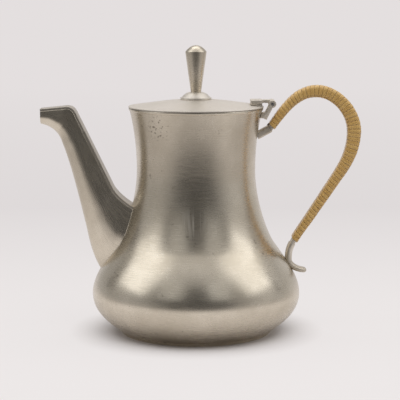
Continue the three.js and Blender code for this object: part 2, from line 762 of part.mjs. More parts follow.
// One long strip of cane, wound round the wrapped stretch of the bar.
function caneWrap() {
  const wrapped = RAIL.filter((step) => step.wrapped);
  const start = wrapped[0].length + CANE_WIDTH / 2 + SOLDER_GAP;
  const end = wrapped.at(-1).length - CANE_WIDTH / 2 - SOLDER_GAP;
  const turns = Math.floor((end - start) / CANE_PITCH);
  const sections = [];
  for (let i = 0; i <= turns * BAR_CORNERS; i += 1) {
    const middle = start + (CANE_PITCH * i) / BAR_CORNERS;
    const corner = (side, offset) => {
      const step = railAt(middle + (side * CANE_WIDTH) / 2);
      return besideRail(step, barLoop(step.thick, HANDLE_WIDTH, offset)[i % BAR_CORNERS]);
    };
    const outside = CANE_GAP + CANE_THICKNESS;
    sections.push({
      loop: [point(0, 0), point(1, 0), point(1, 1), point(0, 1)],
      corners: [corner(-1, CANE_GAP), corner(-1, outside), corner(1, outside), corner(1, CANE_GAP)],
    });
  }
  return loft(sections);
}

// Hinge

const HINGE = point(RIM_RADIUS + HINGE_OFFSET, RIM_HEIGHT + HINGE_LIFT);

function pinBore() {
  const reach = HINGE_WIDTH;
  return slab(circle(HINGE, PIN_RADIUS + PIN_GAP, BORE_SEGMENTS), -reach, reach);
}

function knuckle(fromY, toY) {
  return slab(circle(HINGE, BARREL_RADIUS, BORE_SEGMENTS), fromY, toY);
}

// The leaf on the body: a leaning plate with a pad that meets the wall and two knuckles.
function bodyLeaf(cutter) {
  const half = HINGE_WIDTH / 2;
  const middle = MIDDLE_KNUCKLE / 2 + KNUCKLE_GAP;
  const down = point(-Math.sin(BODY_LEAF_LEAN), -Math.cos(BODY_LEAF_LEAN));
  const side = point(Math.cos(BODY_LEAF_LEAN), -Math.sin(BODY_LEAF_LEAN));
  const at = (along, across) => HINGE.clone().addScaledVector(down, along).addScaledVector(side, across);
  const edge = LEAF_THICKNESS / 2 + LEAF_MARGIN;
  const end = at(BODY_LEAF_LENGTH, -edge);
  const padTop = at(BODY_LEAF_LENGTH - BODY_LEAF_PAD, -edge);
  const inside = wallRadius(end.y) - WALL;
  const plate = [at(0, -edge), padTop, point(inside, padTop.y - LEAF_SLOPE), point(inside, end.y), end,
    at(BODY_LEAF_LENGTH, edge), at(0, edge)];
  const room = BARREL_RADIUS + KNUCKLE_GAP;
  const window = [at(-room, -2 * room), at(room, -2 * room), at(room, 2 * room), at(-room, 2 * room)];
  return slab(plate, -half, half)
    .add(knuckle(-half, -middle))
    .add(knuckle(middle, half))
    .subtract(slab(window, -middle, middle))
    .subtract(pinBore())
    .subtract(cutter);
}

// The strap on the lid: its inner end follows the dome and its tongue carries the middle knuckle.
function lidLeaf() {
  const half = HINGE_WIDTH / 2;
  const middle = MIDDLE_KNUCKLE / 2;
  const top = HINGE.y + BARREL_RADIUS;
  const bottom = top - LEAF_THICKNESS;
  const inner = HINGE.x - LID_LEAF_LENGTH;
  const heel = inner + LID_LEAF_PAD;
  const notch = HINGE.x - BARREL_RADIUS - LEAF_NOTCH;
  const sink = lidTop(inner) - LID_SHEET;
  const strap = [point(inner, sink), point(heel, sink), point(heel, bottom), point(notch, bottom),
    point(notch, top), point(inner, top)];
  const root = notch - LEAF_SLOPE;
  const tongue = [point(root, bottom), point(HINGE.x, bottom), point(HINGE.x, top), point(root, top)];
  const dome = revolve(lidCutter(), BODY_SEGMENTS);
  return slab(strap, -half, half)
    .add(slab(tongue, -middle, middle))
    .add(knuckle(-middle, middle))
    .subtract(pinBore())
    .subtract(dome);
}

function hingePin() {
  const half = HINGE_WIDTH / 2 + PIN_HEAD;
  return slab(circle(HINGE, PIN_RADIUS, BORE_SEGMENTS), -half, half);
}

// Lid

const LID_RADIUS = RIM_RADIUS + LID_OVERHANG;
const LID_SEAT = RIM_HEIGHT + LID_GAP;
const LID_CROWN = LID_SEAT + LID_EDGE + LID_RISE;
const LID_FLAT = ROSETTE_RADIUS + LID_SEAT_MARGIN;

// The dome from its flat middle to its edge: almost a cone, a little full at both ends.
function domeCurve() {
  const crown = point(LID_FLAT, LID_CROWN);
  const edge = point(LID_RADIUS, LID_SEAT + LID_EDGE);
  return cubic(crown, between(crown, edge, DOME_START_PULL), between(crown, edge, DOME_END_PULL), edge);
}

const DOME = domeCurve().getPoints(DOME_STEPS);

function lidTop(radius) {
  for (let i = 0; i + 1 < DOME.length; i += 1) {
    const [a, b] = [DOME[i], DOME[i + 1]];
    if (radius >= a.x && radius <= b.x) {
      return THREE.MathUtils.mapLinear(radius, a.x, b.x, a.y, b.y);
    }
  }
  return LID_CROWN;
}

function lidCutter() {
  const lifted = DOME.map((corner) => point(corner.x, corner.y + SOLDER_GAP));
  return [
    point(0, LID_SEAT),
    point(LID_RADIUS + SOLDER_GAP, LID_SEAT),
    point(LID_RADIUS + SOLDER_GAP, LID_SEAT + LID_EDGE),
    ...lifted.reverse(),
    point(0, LID_CROWN + SOLDER_GAP),
  ];
}

function lidPlate() {
  const bore = STUD_RADIUS + STUD_GAP;
  const flange = LID_RADIUS - LID_FLANGE;
  const bend = flange - LID_FLANGE_SLOPE;
  const under = DOME.filter((corner) => corner.x < bend)
    .map((corner) => point(corner.x, corner.y - LID_SHEET));
  return revolve([
    point(bore, LID_CROWN - LID_SHEET),
    ...under,
    point(bend, lidTop(bend) - LID_SHEET),
    point(flange, LID_SEAT),
    point(LID_RADIUS, LID_SEAT),
    ...[...DOME].reverse(),
    point(bore, LID_CROWN),
  ], BODY_SEGMENTS);
}

function lidBezel() {
  const low = LID_SEAT - BEZEL_DEPTH;
  const outer = wallRadius(low) - WALL - BEZEL_CLEARANCE;
  const inner = outer - BEZEL_WALL;
  return revolve([point(inner, low), point(outer, low), point(outer, LID_SEAT), point(inner, LID_SEAT)],
    BODY_SEGMENTS);
}

// Finial

const KNOB_SEAT = LID_CROWN + ROSETTE_HEIGHT;

function finialRosette() {
  const bore = STUD_RADIUS + STUD_GAP;
  const brim = point(ROSETTE_RADIUS - ROSETTE_LEDGE, LID_CROWN + ROSETTE_EDGE);
  const top = point(ROSETTE_TOP_RADIUS, KNOB_SEAT);
  const dome = quadratic(brim, between(brim, top, ROSETTE_PULL), top);
  return revolve([
    point(bore, LID_CROWN),
    point(ROSETTE_RADIUS - ROSETTE_BEVEL, LID_CROWN),
    point(ROSETTE_RADIUS, LID_CROWN + ROSETTE_BEVEL),
    point(ROSETTE_RADIUS, brim.y - ROSETTE_BEVEL),
    ...dome.getPoints(ROSETTE_STEPS),
    point(bore, KNOB_SEAT),
  ], SMALL_SEGMENTS);
}

function finialKnob() {
  const bore = STUD_RADIUS + STUD_GAP;
  const depth = KNOB_SEAT + STUD_REACH + STUD_GAP;
  const brow = KNOB_SEAT + KNOB_HEIGHT;
  const rim = point(KNOB_TOP_RADIUS - KNOB_BEVEL, brow + KNOB_BEVEL);
  const peak = point(0, brow + KNOB_DOME);
  const domeStart = between(rim, peak, KNOB_DOME_START_PULL);
  const domeEnd = between(rim, peak, KNOB_DOME_END_PULL);
  return revolve([
    point(0, depth),
    point(bore, depth),
    point(bore, KNOB_SEAT),
    point(KNOB_FOOT_RADIUS - KNOB_BEVEL, KNOB_SEAT),
    point(KNOB_FOOT_RADIUS, KNOB_SEAT + KNOB_BEVEL),
    point(KNOB_TOP_RADIUS, brow - KNOB_BEVEL),
    ...cubic(rim, domeStart, domeEnd, peak).getPoints(DOME_STEPS),
  ], SMALL_SEGMENTS);
}

const WASHER_TOP = LID_CROWN - LID_SHEET;
const NUT_TOP = WASHER_TOP - WASHER_THICKNESS;

function finialStud() {
  const low = NUT_TOP - NUT_HEIGHT - STUD_END;
  const high = KNOB_SEAT + STUD_REACH;
  return revolve([point(0, low), point(STUD_RADIUS, low), point(STUD_RADIUS, high), point(0, high)],
    BORE_SEGMENTS);
}

function finialWasher() {
  const bore = STUD_RADIUS + STUD_GAP;
  return revolve([point(bore, NUT_TOP), point(WASHER_RADIUS, NUT_TOP), point(WASHER_RADIUS, WASHER_TOP),
    point(bore, WASHER_TOP)], BORE_SEGMENTS);
}

function finialNut() {
  const bore = STUD_RADIUS + STUD_GAP;
  const low = NUT_TOP - NUT_HEIGHT;
  const section = (loop, z) => ({ loop, corners: loop.map((corner) => new THREE.Vector3(corner.x, corner.y, z)) });
  const hexagon = circle(point(0, 0), NUT_WIDTH / Math.sqrt(3), 6);
  const hole = circle(point(0, 0), bore, BORE_SEGMENTS);
  return loft([section(hexagon, low), section(hexagon, NUT_TOP)])
    .subtract(loft([section(hole, low - 1), section(hole, NUT_TOP + 1)]));
}

// Assembly

const cutter = bodyCutter();
const pot = new THREE.Group();
pot.add(
  piece('body_upper', upperShell().subtract(spoutHollow()), pewter()),
  piece('body_lower', lowerShell(), pewter()),
  piece('base_plate', basePlate(), pewter()),
  piece('spout_channel', spoutChannel(cutter), pewter()),
  piece('spout_back_plate', spoutBackPlate(cutter), pewter()),
  piece('spout_strainer', spoutStrainer(), pewter()),
  piece('handle_bar', handleBar(cutter), pewter()),
  piece('cane_wrap', caneWrap(), cane()),
  piece('hinge_body_leaf', bodyLeaf(cutter), pewter()),
  piece('hinge_pin', hingePin(), steel()),
);

const lid = new THREE.Group();
lid.add(
  piece('hinge_lid_leaf', lidLeaf(), pewter()),
  piece('lid_plate', lidPlate(), pewter()),
  piece('lid_bezel', lidBezel(), pewter()),
  piece('finial_rosette', finialRosette(), pewter()),
  piece('finial_knob', finialKnob(), pewter()),
  piece('finial_stud', finialStud(), steel()),
  piece('finial_washer', finialWasher(), steel()),
  piece('finial_nut', finialNut(), steel()),
);
pot.add(lid);

export default pot;
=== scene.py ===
# Looks of a pewter coffee pot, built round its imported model.
# Metres, +Z up. The spout points along -X, the handle along +X and the hinge pin lies along Y.

import random
from math import comb, copysign, cos, hypot, pi, radians, sin, sqrt

import bmesh
import bpy
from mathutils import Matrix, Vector


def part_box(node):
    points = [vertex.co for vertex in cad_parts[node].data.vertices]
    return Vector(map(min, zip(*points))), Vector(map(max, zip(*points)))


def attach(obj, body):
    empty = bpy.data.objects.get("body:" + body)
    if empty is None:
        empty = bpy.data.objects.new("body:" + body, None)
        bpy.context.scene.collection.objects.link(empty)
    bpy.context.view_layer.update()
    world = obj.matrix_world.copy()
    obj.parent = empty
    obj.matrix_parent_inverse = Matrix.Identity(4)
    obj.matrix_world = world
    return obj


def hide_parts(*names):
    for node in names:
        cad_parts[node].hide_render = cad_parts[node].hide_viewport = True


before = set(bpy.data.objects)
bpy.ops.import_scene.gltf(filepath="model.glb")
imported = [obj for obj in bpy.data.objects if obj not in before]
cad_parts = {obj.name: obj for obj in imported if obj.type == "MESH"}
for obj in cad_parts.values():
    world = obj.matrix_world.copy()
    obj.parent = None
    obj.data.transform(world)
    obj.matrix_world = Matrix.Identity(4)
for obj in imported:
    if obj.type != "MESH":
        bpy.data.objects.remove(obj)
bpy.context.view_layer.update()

MM = 0.001

# Camera, from the photograph's view of the rim, the foot and the lid
CAMERA_PLACE = Vector((0.0028, -1.05, 0.2401))
CAMERA_PITCH = radians(8.0)
CAMERA_LENS = 136.3

camera = bpy.data.objects.new("camera", bpy.data.cameras.new("camera"))
camera.location = CAMERA_PLACE
camera.rotation_euler = (pi / 2 - CAMERA_PITCH, 0, 0)
camera.data.lens = CAMERA_LENS
bpy.context.scene.collection.objects.link(camera)
bpy.context.scene.camera = camera
bpy.context.scene.view_settings.view_transform = "Standard"

# Body
WALL = 1.3 * MM
RIM = Vector((46.4, 157.3)) * MM
RIM_FLARE = radians(13.8)
RIM_BEAD = 0.9 * MM
RIM_BEAD_STAND = 0.5 * MM
RIM_BEAD_CLEAR = 0.1 * MM
NECK = Vector((41.3, 114)) * MM
FLANK = Vector((55.2, 62)) * MM
FLANK_SLOPE = radians(35)
FLANK_EASE = 10 * MM
BELLY = Vector((72.7, 27.7)) * MM
FOOT = Vector((53.3, 2)) * MM
FOOT_FLARE = radians(33)
FOOT_EDGE = 0.6 * MM
FOOT_RING = 5 * MM
BASE_THICKNESS = 1.5 * MM
BASE_LEDGE = 3 * MM
BASE_GAP = 0.3 * MM
SHEET_EDGE = 0.3 * MM
MOUTH_FULLNESS = 0.35
NECK_FULLNESS = 0.385
BELLY_FULLNESS = 0.35
UNDERSIDE_FULLNESS = 0.46

# Spout
SPOUT_WALL = 1.2 * MM
SPOUT_ROOT_TOP = 88 * MM
SPOUT_ROOT_BOTTOM = 44.5 * MM
SPOUT_TUCK = Vector((14, -8.4)) * MM
SPOUT_TIP = Vector((-107.69, 155.3)) * MM
SPOUT_TIP_DEPTH = 9.1 * MM
SPOUT_SHOULDER = Vector((-86.1, 157.4)) * MM
SPOUT_SHOULDER_BEND = 4 * MM
SPOUT_HEEL = Vector((-58.6, 100.5)) * MM
SPOUT_KNEE = Vector((-76.5, 72.6)) * MM
SPOUT_THROAT = Vector((-93, 133)) * MM
SPOUT_NAPE_SHARE = 0.7
SPOUT_BEND_SHARES = (0.4, 0.5)
SPOUT_WIDTHS = {"root": 26 * MM, "knee": 24 * MM, "waist": 19 * MM, "shoulder": 16 * MM, "tip": 12.5 * MM}
BACK_WIDTHS = {"root": 20 * MM, "knee": 20 * MM, "waist": 17 * MM, "shoulder": 15 * MM, "tip": 12.5 * MM}

# Handle
BAR_ROOT_HEIGHT = 138 * MM
BAR_ROOT_RISE = radians(29)
BAR_ROOT_LENGTH = 10 * MM
BAR_ROOT_SINK = 0.5 * MM
BAR_FLAT_ROOT = 15 * MM
BAR_CROWN = Vector((83.8, 168.8)) * MM
BAR_SIDE = Vector((109.9, 141)) * MM
BAR_LIMB = Vector((98.3, 109)) * MM
BAR_SHIN = Vector((79.9, 81.2)) * MM
BAR_WRAP_END_HEIGHT = 62 * MM
BAR_FOOT_HEIGHT = 51 * MM
BAR_FOOT_BITE = 0.6 * MM
BAR_ANKLE_OFFSET = 2.5 * MM
BAR_ANKLE_LEAN = radians(28)
BAR_TAIL = Vector((12.7, -8)) * MM
BAR_WIDTH = 9.5 * MM
BAR_TIP_WIDTH = 4.3 * MM
BAR_CHAMFER = 1.6 * MM
CANE_PITCH = 2.8 * MM
CANE_THICKNESS = 0.8 * MM
CANE_GAP = 0.3 * MM
LIMB_EASE = 0.3
ANKLE_EASE = 0.4
FOOT_EASE = 0.35
QUARTER_TURN = 0.55
THICKNESS = {
    "root": 5 * MM, "wrap start": 3.4 * MM, "crown": 6.4 * MM, "side": 7.4 * MM, "limb": 5.1 * MM,
    "shin": 3.9 * MM, "wrap end": 3.1 * MM, "foot": 4.9 * MM, "tail": 3.4 * MM,
}

# Lid and finial
LID_RADIUS = 46.9 * MM
LID_SEAT = 157.6 * MM
LID_EDGE = 0.8 * MM
LID_CROWN = 163.0 * MM
LID_FLAT = 11.6 * MM
LID_SHEET = 1.2 * MM
LID_FLANGE = 5.6 * MM
LID_FLANGE_STEP = 1 * MM
BEZEL_WALL = 1.2 * MM
ROSETTE_RADIUS = 10.8 * MM
ROSETTE_EDGE = 1.5 * MM
ROSETTE_ROUND = 0.35 * MM
ROSETTE_LEDGE = 0.9 * MM
ROSETTE_TOP_RADIUS = 4.2 * MM
KNOB_SEAT = 168.2 * MM
KNOB_FOOT_RADIUS = 3.6 * MM
KNOB_TOP_RADIUS = 7.4 * MM
KNOB_HEIGHT = 27.8 * MM
KNOB_DOME = 4.5 * MM
KNOB_ROUND = 0.22 * MM

# Smoothness of the meshes
ROUND_STEPS = 192
SMALL_STEPS = 96
CURVE_STEPS = 24
DOME_STEPS = 12
BEAD_STEPS = 8
EDGE_STEPS = 3
EASE_STEPS = 4
CORNER_STEPS = 6
LOOP_POINTS = 4 * (CORNER_STEPS + 1)
CREASE = 40

# Corners sharper than the angle are eased, over at most a share of the shorter side
CORNER_ANGLE = radians(25)
CORNER_REACH = 0.45

# Lengths that count as none, in metres
NOTHING = 1e-9
TOUCHING = 1e-7
WELDED = 1e-6


# Curves

def plotted(*pairs):
    return [Vector(pair) for pair in pairs]


def quarter_turn(steps):
    return [0.5 * pi * k / steps for k in range(steps + 1)]


def line(start, end):
    """A straight line, as a function of the share of the way along it."""
    return lambda t: start.lerp(end, t)


def curve(*points):
    """The Bezier curve of some control points, as such a function."""
    degree = len(points) - 1
    return lambda t: sum((comb(degree, k) * (1 - t) ** (degree - k) * t ** k * p
                          for k, p in enumerate(points)), Vector((0, 0)))


def part(whole, start, end):
    """The part of a curve between two shares of it, as such a function."""
    return lambda t: whole(start + t * (end - start))


def bezier(points, steps):
    """Points at even steps along the Bezier curve of some control points."""
    path = curve(*points)
    return [path(i / steps) for i in range(steps + 1)]


def joined(*runs):
    """Several runs of points as one, without their shared ends."""
    made = list(runs[0])
    for run in runs[1:]:
        made.extend(run[1:] if (run[0] - made[-1]).length < TOUCHING else run)
    return made


def between(start, end, across, up):
    """The point that lies the given shares of the way from start to end, across and up."""
    return Vector((start.x + across * (end.x - start.x), start.y + up * (end.y - start.y)))


def beside(outline, distance):
    """The outline moved sideways: towards the axis where it runs down and the distance is positive."""
    moved = []
    for i, corner in enumerate(outline):
        along = (outline[min(i + 1, len(outline) - 1)] - outline[max(i - 1, 0)]).normalized()
        moved.append(corner + distance * Vector((along.y, -along.x)))
    return moved


def rounded(outline, radius):
    """The outline with each sharp corner eased by a small curve."""
    made = [outline[0]]
    for before, corner, after in zip(outline, outline[1:], outline[2:]):
        into = corner - before
        out = after - corner
        if into.length < NOTHING or out.length < NOTHING or into.angle(out) < CORNER_ANGLE:
            made.append(corner)
            continue
        reach = min(radius, CORNER_REACH * into.length, CORNER_REACH * out.length)
        start = corner - reach * into.normalized()
        end = corner + reach * out.normalized()
        made.extend(bezier([start, corner, end], EDGE_STEPS))
    made.append(outline[-1])
    return made


# Meshes

def placed(name, data):
    """A new object of the scene."""
    made = bpy.data.objects.new(name, data)
    bpy.context.scene.collection.objects.link(made)
    return made


def numbered(mesh, name, values):
    """Keeps a number at each vertex, which the material reads."""
    attribute = mesh.attributes.new(name, "FLOAT", "POINT")
    attribute.data.foreach_set("value", values)


def piece(name, vertices, faces, material, body, stands_for=(), run=None, crease=CREASE):
    """A shown piece of the object, smooth except at edges sharper than the crease, in degrees."""
    mesh = bpy.data.meshes.new(name)
    mesh.from_pydata([tuple(v) for v in vertices], [], faces)
    mesh.validate()
    if run is not None:
        numbered(mesh, "run", run)
    solid = bmesh.new()
    solid.from_mesh(mesh)
    bmesh.ops.recalc_face_normals(solid, faces=solid.faces)
    solid.to_mesh(mesh)
    solid.free()
    mesh.polygons.foreach_set("use_smooth", [True] * len(mesh.polygons))
    mesh.set_sharp_from_angle(angle=radians(crease))
    mesh.materials.append(material)
    made = placed(name, mesh)
    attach(made, body)
    if stands_for:
        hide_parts(*stands_for)
    return made


def turned(name, outline, material, body, stands_for, steps=ROUND_STEPS, dropped=(), extra=()):
    """A closed outline of (radius, height) points turned about the pot's axis. It starts and ends on
    the axis, or closes on itself. Faces that start at a dropped (ring, step) are left out, and extra
    faces are given by their corners' (ring, step)."""
    vertices, run, rings = [], [], []
    length = 0.0
    for i, corner in enumerate(outline):
        length += (corner - outline[i - 1]).length if i else 0.0
        count = steps if corner.x > NOTHING else 1
        rings.append([len(vertices) + k % count for k in range(steps)])
        for k in range(count):
            angle = 2 * pi * k / steps
            vertices.append((corner.x * cos(angle), corner.x * sin(angle), corner.y))
            run.append(length)
    faces = []
    closing = [] if outline[0].x < NOTHING else [(len(rings) - 1, 0)]
    for above, below in [(i, i + 1) for i in range(len(rings) - 1)] + closing:
        for k in range(steps):
            n = (k + 1) % steps
            corners = [rings[above][k], rings[below][k], rings[below][n], rings[above][n]]
            if (above, k) not in dropped:
                faces.append([c for j, c in enumerate(corners) if c not in corners[:j]])
    faces.extend([rings[i][k % steps] for i, k in corners] for corners in extra)
    piece(name, vertices, faces, material, body, stands_for, run)


def skin(name, sections, material, body, stands_for=(), run=None, crease=CREASE):
    """Closed loops of as many points each, skinned in a row. Each end is capped by faces that join the
    loop's first half to its second."""
    count = len(sections[0])
    vertices = [p for section in sections for p in section]
    faces = []
    for i in range(len(sections) - 1):
        for j in range(count):
            a, b = i * count + j, i * count + (j + 1) % count
            faces.append([a, b, b + count, a + count])
    for start in (0, len(vertices) - count):
        for j in range(count // 2 - 1):
            faces.append([start + j, start + j + 1, start + count - 2 - j, start + count - 1 - j])
    return piece(name, vertices, faces, material, body, stands_for, run, crease)


SOLID_CREASE = 30
FLAT_ANGLE = radians(2)


def softened(node, material, body, bevel):
    """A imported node's solid with its flat faces made whole and its sharp edges eased."""
    solid = bmesh.new()
    solid.from_mesh(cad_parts[node].data)
    bmesh.ops.remove_doubles(solid, verts=solid.verts, dist=WELDED)
    bmesh.ops.dissolve_limit(solid, angle_limit=FLAT_ANGLE, verts=solid.verts, edges=solid.edges)
    angle = radians(SOLID_CREASE)
    sharp = [e for e in solid.edges if len(e.link_faces) == 2 and e.calc_face_angle() > angle]
    if bevel:
        bmesh.ops.bevel(solid, geom=sharp, offset=bevel, segments=EDGE_STEPS, profile=0.5,
                        affect="EDGES", clamp_overlap=True)
    mesh = bpy.data.meshes.new(node + "_finish")
    solid.to_mesh(mesh)
    solid.free()
    vertices = [v.co.copy() for v in mesh.vertices]
    faces = [list(p.vertices) for p in mesh.polygons]
    bpy.data.meshes.remove(mesh)
    piece(node + "_finish", vertices, faces, material, body, [node], crease=SOLID_CREASE)


# Materials

MARK_CORE = 0.4


class Nodes:
    """Nodes added by kind to a tree, with values or other nodes' outputs as inputs."""

    def __init__(self, tree):
        self.tree = tree

    def set(self, node, inputs):
        for name, value in inputs.items():
            socket = node.inputs[name if isinstance(name, int) else name.replace("_", " ")]
            if isinstance(value, bpy.types.NodeSocket):
                self.tree.links.new(value, socket)
            else:
                socket.default_value = value

    def add(self, kind, inputs=(), output=0, **settings):
        node = self.tree.nodes.new("ShaderNode" + kind)
        for name, value in settings.items():
            setattr(node, name, value)
        self.set(node, dict(inputs))
        return node.outputs[output]

    def maths(self, operation, *values):
        return self.add("Math", dict(enumerate(values)), operation=operation)

    def times(self, first, second):
        return self.maths("MULTIPLY", first, second)

    def noise(self, vector, scale, detail, roughness):
        inputs = {"Vector": vector, "Scale": scale, "Detail": detail, "Roughness": roughness}
        return self.add("TexNoise", inputs)

    def attribute(self, name):
        return self.add("Attribute", attribute_name=name, output=2)

    def axes(self, place):
        x = self.add("SeparateXYZ", {0: place})
        return x, x.node.outputs[1], x.node.outputs[2]

    def ranged(self, value, low, high, to_low, to_high, **settings):
        return self.add("MapRange", {"Value": value, 1: low, 2: high, 3: to_low, 4: to_high}, **settings)

    def rising(self, value, low, high, **settings):
        """Nothing at the first value, rising to one at the second."""
        return self.ranged(value, low, high, 0.0, 1.0, **settings)

    def mixed(self, share, first, second):
        return self.add("Mix", {0: share, 6: first, 7: second}, output=2, data_type="RGBA")

    def distance(self, place, centre):
        return self.add("VectorMath", {0: place, 1: centre}, output=1, operation="DISTANCE")

    def near(self, place, centre, radius):
        """One round the centre, falling to nothing at the radius."""
        return self.ranged(self.distance(place, centre), MARK_CORE * radius, radius, 1.0, 0.0)

    def largest(self, *values):
        most = values[0]
        for value in values[1:]:
            most = self.maths("MAXIMUM", most, value)
        return most


def painted(name, **values):
    """A material's nodes and its surface."""
    material = bpy.data.materials.new(name)
    material.use_nodes = True
    nodes = Nodes(material.node_tree)
    surface = material.node_tree.nodes["Principled BSDF"]
    nodes.set(surface, values)
    return material, nodes, surface


# Metres to one wave of each pattern
STREAK_HEIGHT = 0.0011
STREAK_LENGTH = 0.035
SCRATCH_HEIGHT = 0.0004
SCRATCH_LENGTH = 0.009
PATINA_SIZE = 0.03
PIT_SIZE = 0.006
MOTTLE_SIZE = 0.002

# Relief of the metal's grain and of the cane's fibres: its strength, and its depth in metres
GRAIN_STRENGTH = 0.16
GRAIN_DEPTH = 0.00003
FIBRE_STRENGTH = 0.25
FIBRE_DEPTH = 0.00006

# Waves of the cane's fibres and tones to the metre of strip, and of its fibres to half its width
FIBRE_WAVES = 60.0
FIBRE_SPLITS = 2.0
TONE_WAVES = 20.0

PEWTER_LIGHT = (0.74, 0.674, 0.565, 1)
PEWTER_DARK = (0.60, 0.537, 0.434, 1)
PEWTER_PIT = (0.16, 0.13, 0.10, 1)
LID_LIGHT = (0.84, 0.79, 0.72, 1)
LID_DARK = (0.76, 0.71, 0.63, 1)
SOLDER_LIGHT = (0.86, 0.80, 0.71, 1)
STRIP_LIGHT = (0.60, 0.555, 0.48, 1)
STRIP_DARK = (0.50, 0.455, 0.385, 1)
# Pale colour of worn scratches and of the painted highlight streaks on the body
PALE_SCUFFS_AND_HIGHLIGHT = (1, 0.95, 0.86, 1)
CANE_DEEP = (0.60, 0.37, 0.11, 1)
CANE_PALE = (0.76, 0.51, 0.19, 1)
CANE_BROWN = (0.52, 0.29, 0.075, 1)
CANE_SHADE = (0.30, 0.17, 0.06, 1)
STEEL_DARK = (0.36, 0.34, 0.32, 1)
STEEL_LIGHT = (0.50, 0.48, 0.46, 1)

# Marks on the body's front, of use and a painted highlight: their middles and reaches, the scratches'
# turns in radians, and the waves to the metre
PITTED = Vector((-25, -35.5, 146)) * MM
PITTED_REACH = 11 * MM
RING = Vector((19, -40.5, 152)) * MM
RING_RADIUS = 8.5 * MM
RING_LINE = 0.35 * MM
SCRATCHED = ((Vector((-28, -52, 60)) * MM, 24 * MM, 0.5), (Vector((40, -60, 30)) * MM, 13 * MM, -0.9))
SCRATCHED_WAVES = (1800.0, 300.0, 130.0)
# Pale upright streaks down the waist's front, a painted highlight: middle, reach and waves to the metre
HIGHLIGHT_STREAKS = Vector((-1, -50, 84)) * MM
HIGHLIGHT_STREAKS_REACH = 13 * MM
HIGHLIGHT_STREAKS_WAVES = (900.0, 100.0, 30.0)
SPECK_SCALE = 620.0


def marks(nodes, place):
    """The body's marks, as shares: dark pits of use, and pale ones that are worn scratches and a ring, and
    upright streaks that are a painted highlight.
    """
    specks = nodes.ranged(nodes.noise(place, SPECK_SCALE, 1.0, 0.4), 0.60, 0.68, 0.0, 0.85)
    pits = nodes.times(nodes.near(place, PITTED, PITTED_REACH), specks)
    ring = nodes.maths("SUBTRACT", nodes.distance(place, RING), RING_RADIUS)
    pale = [nodes.ranged(nodes.maths("ABSOLUTE", ring), 0.0, RING_LINE, 0.2, 0.0)]

    def add_lines(aligned, waves, low, high, most, centre, reach):
        stretched = nodes.add("VectorMath", {0: aligned, 1: waves}, operation="MULTIPLY")
        share = nodes.ranged(nodes.noise(stretched, 1.0, 1.0, 0.4), low, high, 0.0, most)
        pale.append(nodes.times(share, nodes.near(place, centre, reach)))

    for centre, reach, turn in SCRATCHED:
        aligned = nodes.add("VectorRotate", {"Vector": place, "Angle": turn}, rotation_type="Y_AXIS")
        add_lines(aligned, SCRATCHED_WAVES, 0.66, 0.72, 0.4, centre, reach)
    add_lines(place, HIGHLIGHT_STREAKS_WAVES, 0.52, 0.66, 0.35, HIGHLIGHT_STREAKS, HIGHLIGHT_STREAKS_REACH)
    return pits, nodes.largest(*pale)


def pewter(name, grain, roughness=0.27, wear=1.0, light=PEWTER_LIGHT, dark=PEWTER_DARK, marked=False):
    """Satin pewter. Its grain goes round a turned piece ("run"), lies level ("up") or follows the length
    of a drawn piece ("along")."""
    material, nodes, surface = painted(name, Metallic=1.0)
    place = nodes.add("TexCoord", output=3)
    x, y, z = nodes.axes(place)
    across = z if grain == "up" else nodes.attribute("run")
    second = z if grain == "along" else y

    def lines(length, height):
        return nodes.add("CombineXYZ", {
            0: nodes.maths("DIVIDE", x, length),
            1: nodes.maths("DIVIDE", second, length),
            2: nodes.maths("DIVIDE", across, height),
        })

    streaks = nodes.noise(lines(STREAK_LENGTH, STREAK_HEIGHT), 1.0, 4.0, 0.6)
    scratches = nodes.noise(lines(SCRATCH_LENGTH, SCRATCH_HEIGHT), 1.0, 2.0, 0.5)
    patina = nodes.noise(place, 1 / PATINA_SIZE, 5.0, 0.6)
    specks = nodes.noise(place, 1 / PIT_SIZE, 2.0, 0.5)
    tone = nodes.mixed(nodes.rising(patina, 0.3, 0.7), dark, light)
    lined = nodes.mixed(nodes.ranged(streaks, 0.56, 0.75, 0.0, 0.35 * wear), tone, dark)
    pits = nodes.times(nodes.ranged(specks, 0.70, 0.76, 0.0, 0.5 * wear),
                       nodes.ranged(patina, 0.5, 0.6, 1.0, 0.0))
    blurred = nodes.maths("ADD",
                          nodes.ranged(patina, 0.3, 0.7, 0.05, -0.03),
                          nodes.ranged(scratches, 0.35, 0.65, roughness - 0.03, roughness + 0.04))
    height = nodes.maths("ADD", nodes.times(scratches, 0.6), streaks)
    if marked:
        worn, scuffs_and_highlight = marks(nodes, place)
        pits = nodes.largest(pits, worn)
        # Pale worn scratches and ring, and the painted highlight of upright streaks on the waist
        lined = nodes.mixed(scuffs_and_highlight, lined, PALE_SCUFFS_AND_HIGHLIGHT)
        blurred = nodes.maths("ADD", blurred, nodes.times(scuffs_and_highlight, 0.3))
    colour = nodes.mixed(pits, lined, PEWTER_PIT)
    bump = nodes.add("Bump", {"Strength": GRAIN_STRENGTH, "Distance": GRAIN_DEPTH, "Height": height})
    nodes.set(surface, {"Base Color": colour, "Roughness": blurred, "Normal": bump})
    return material


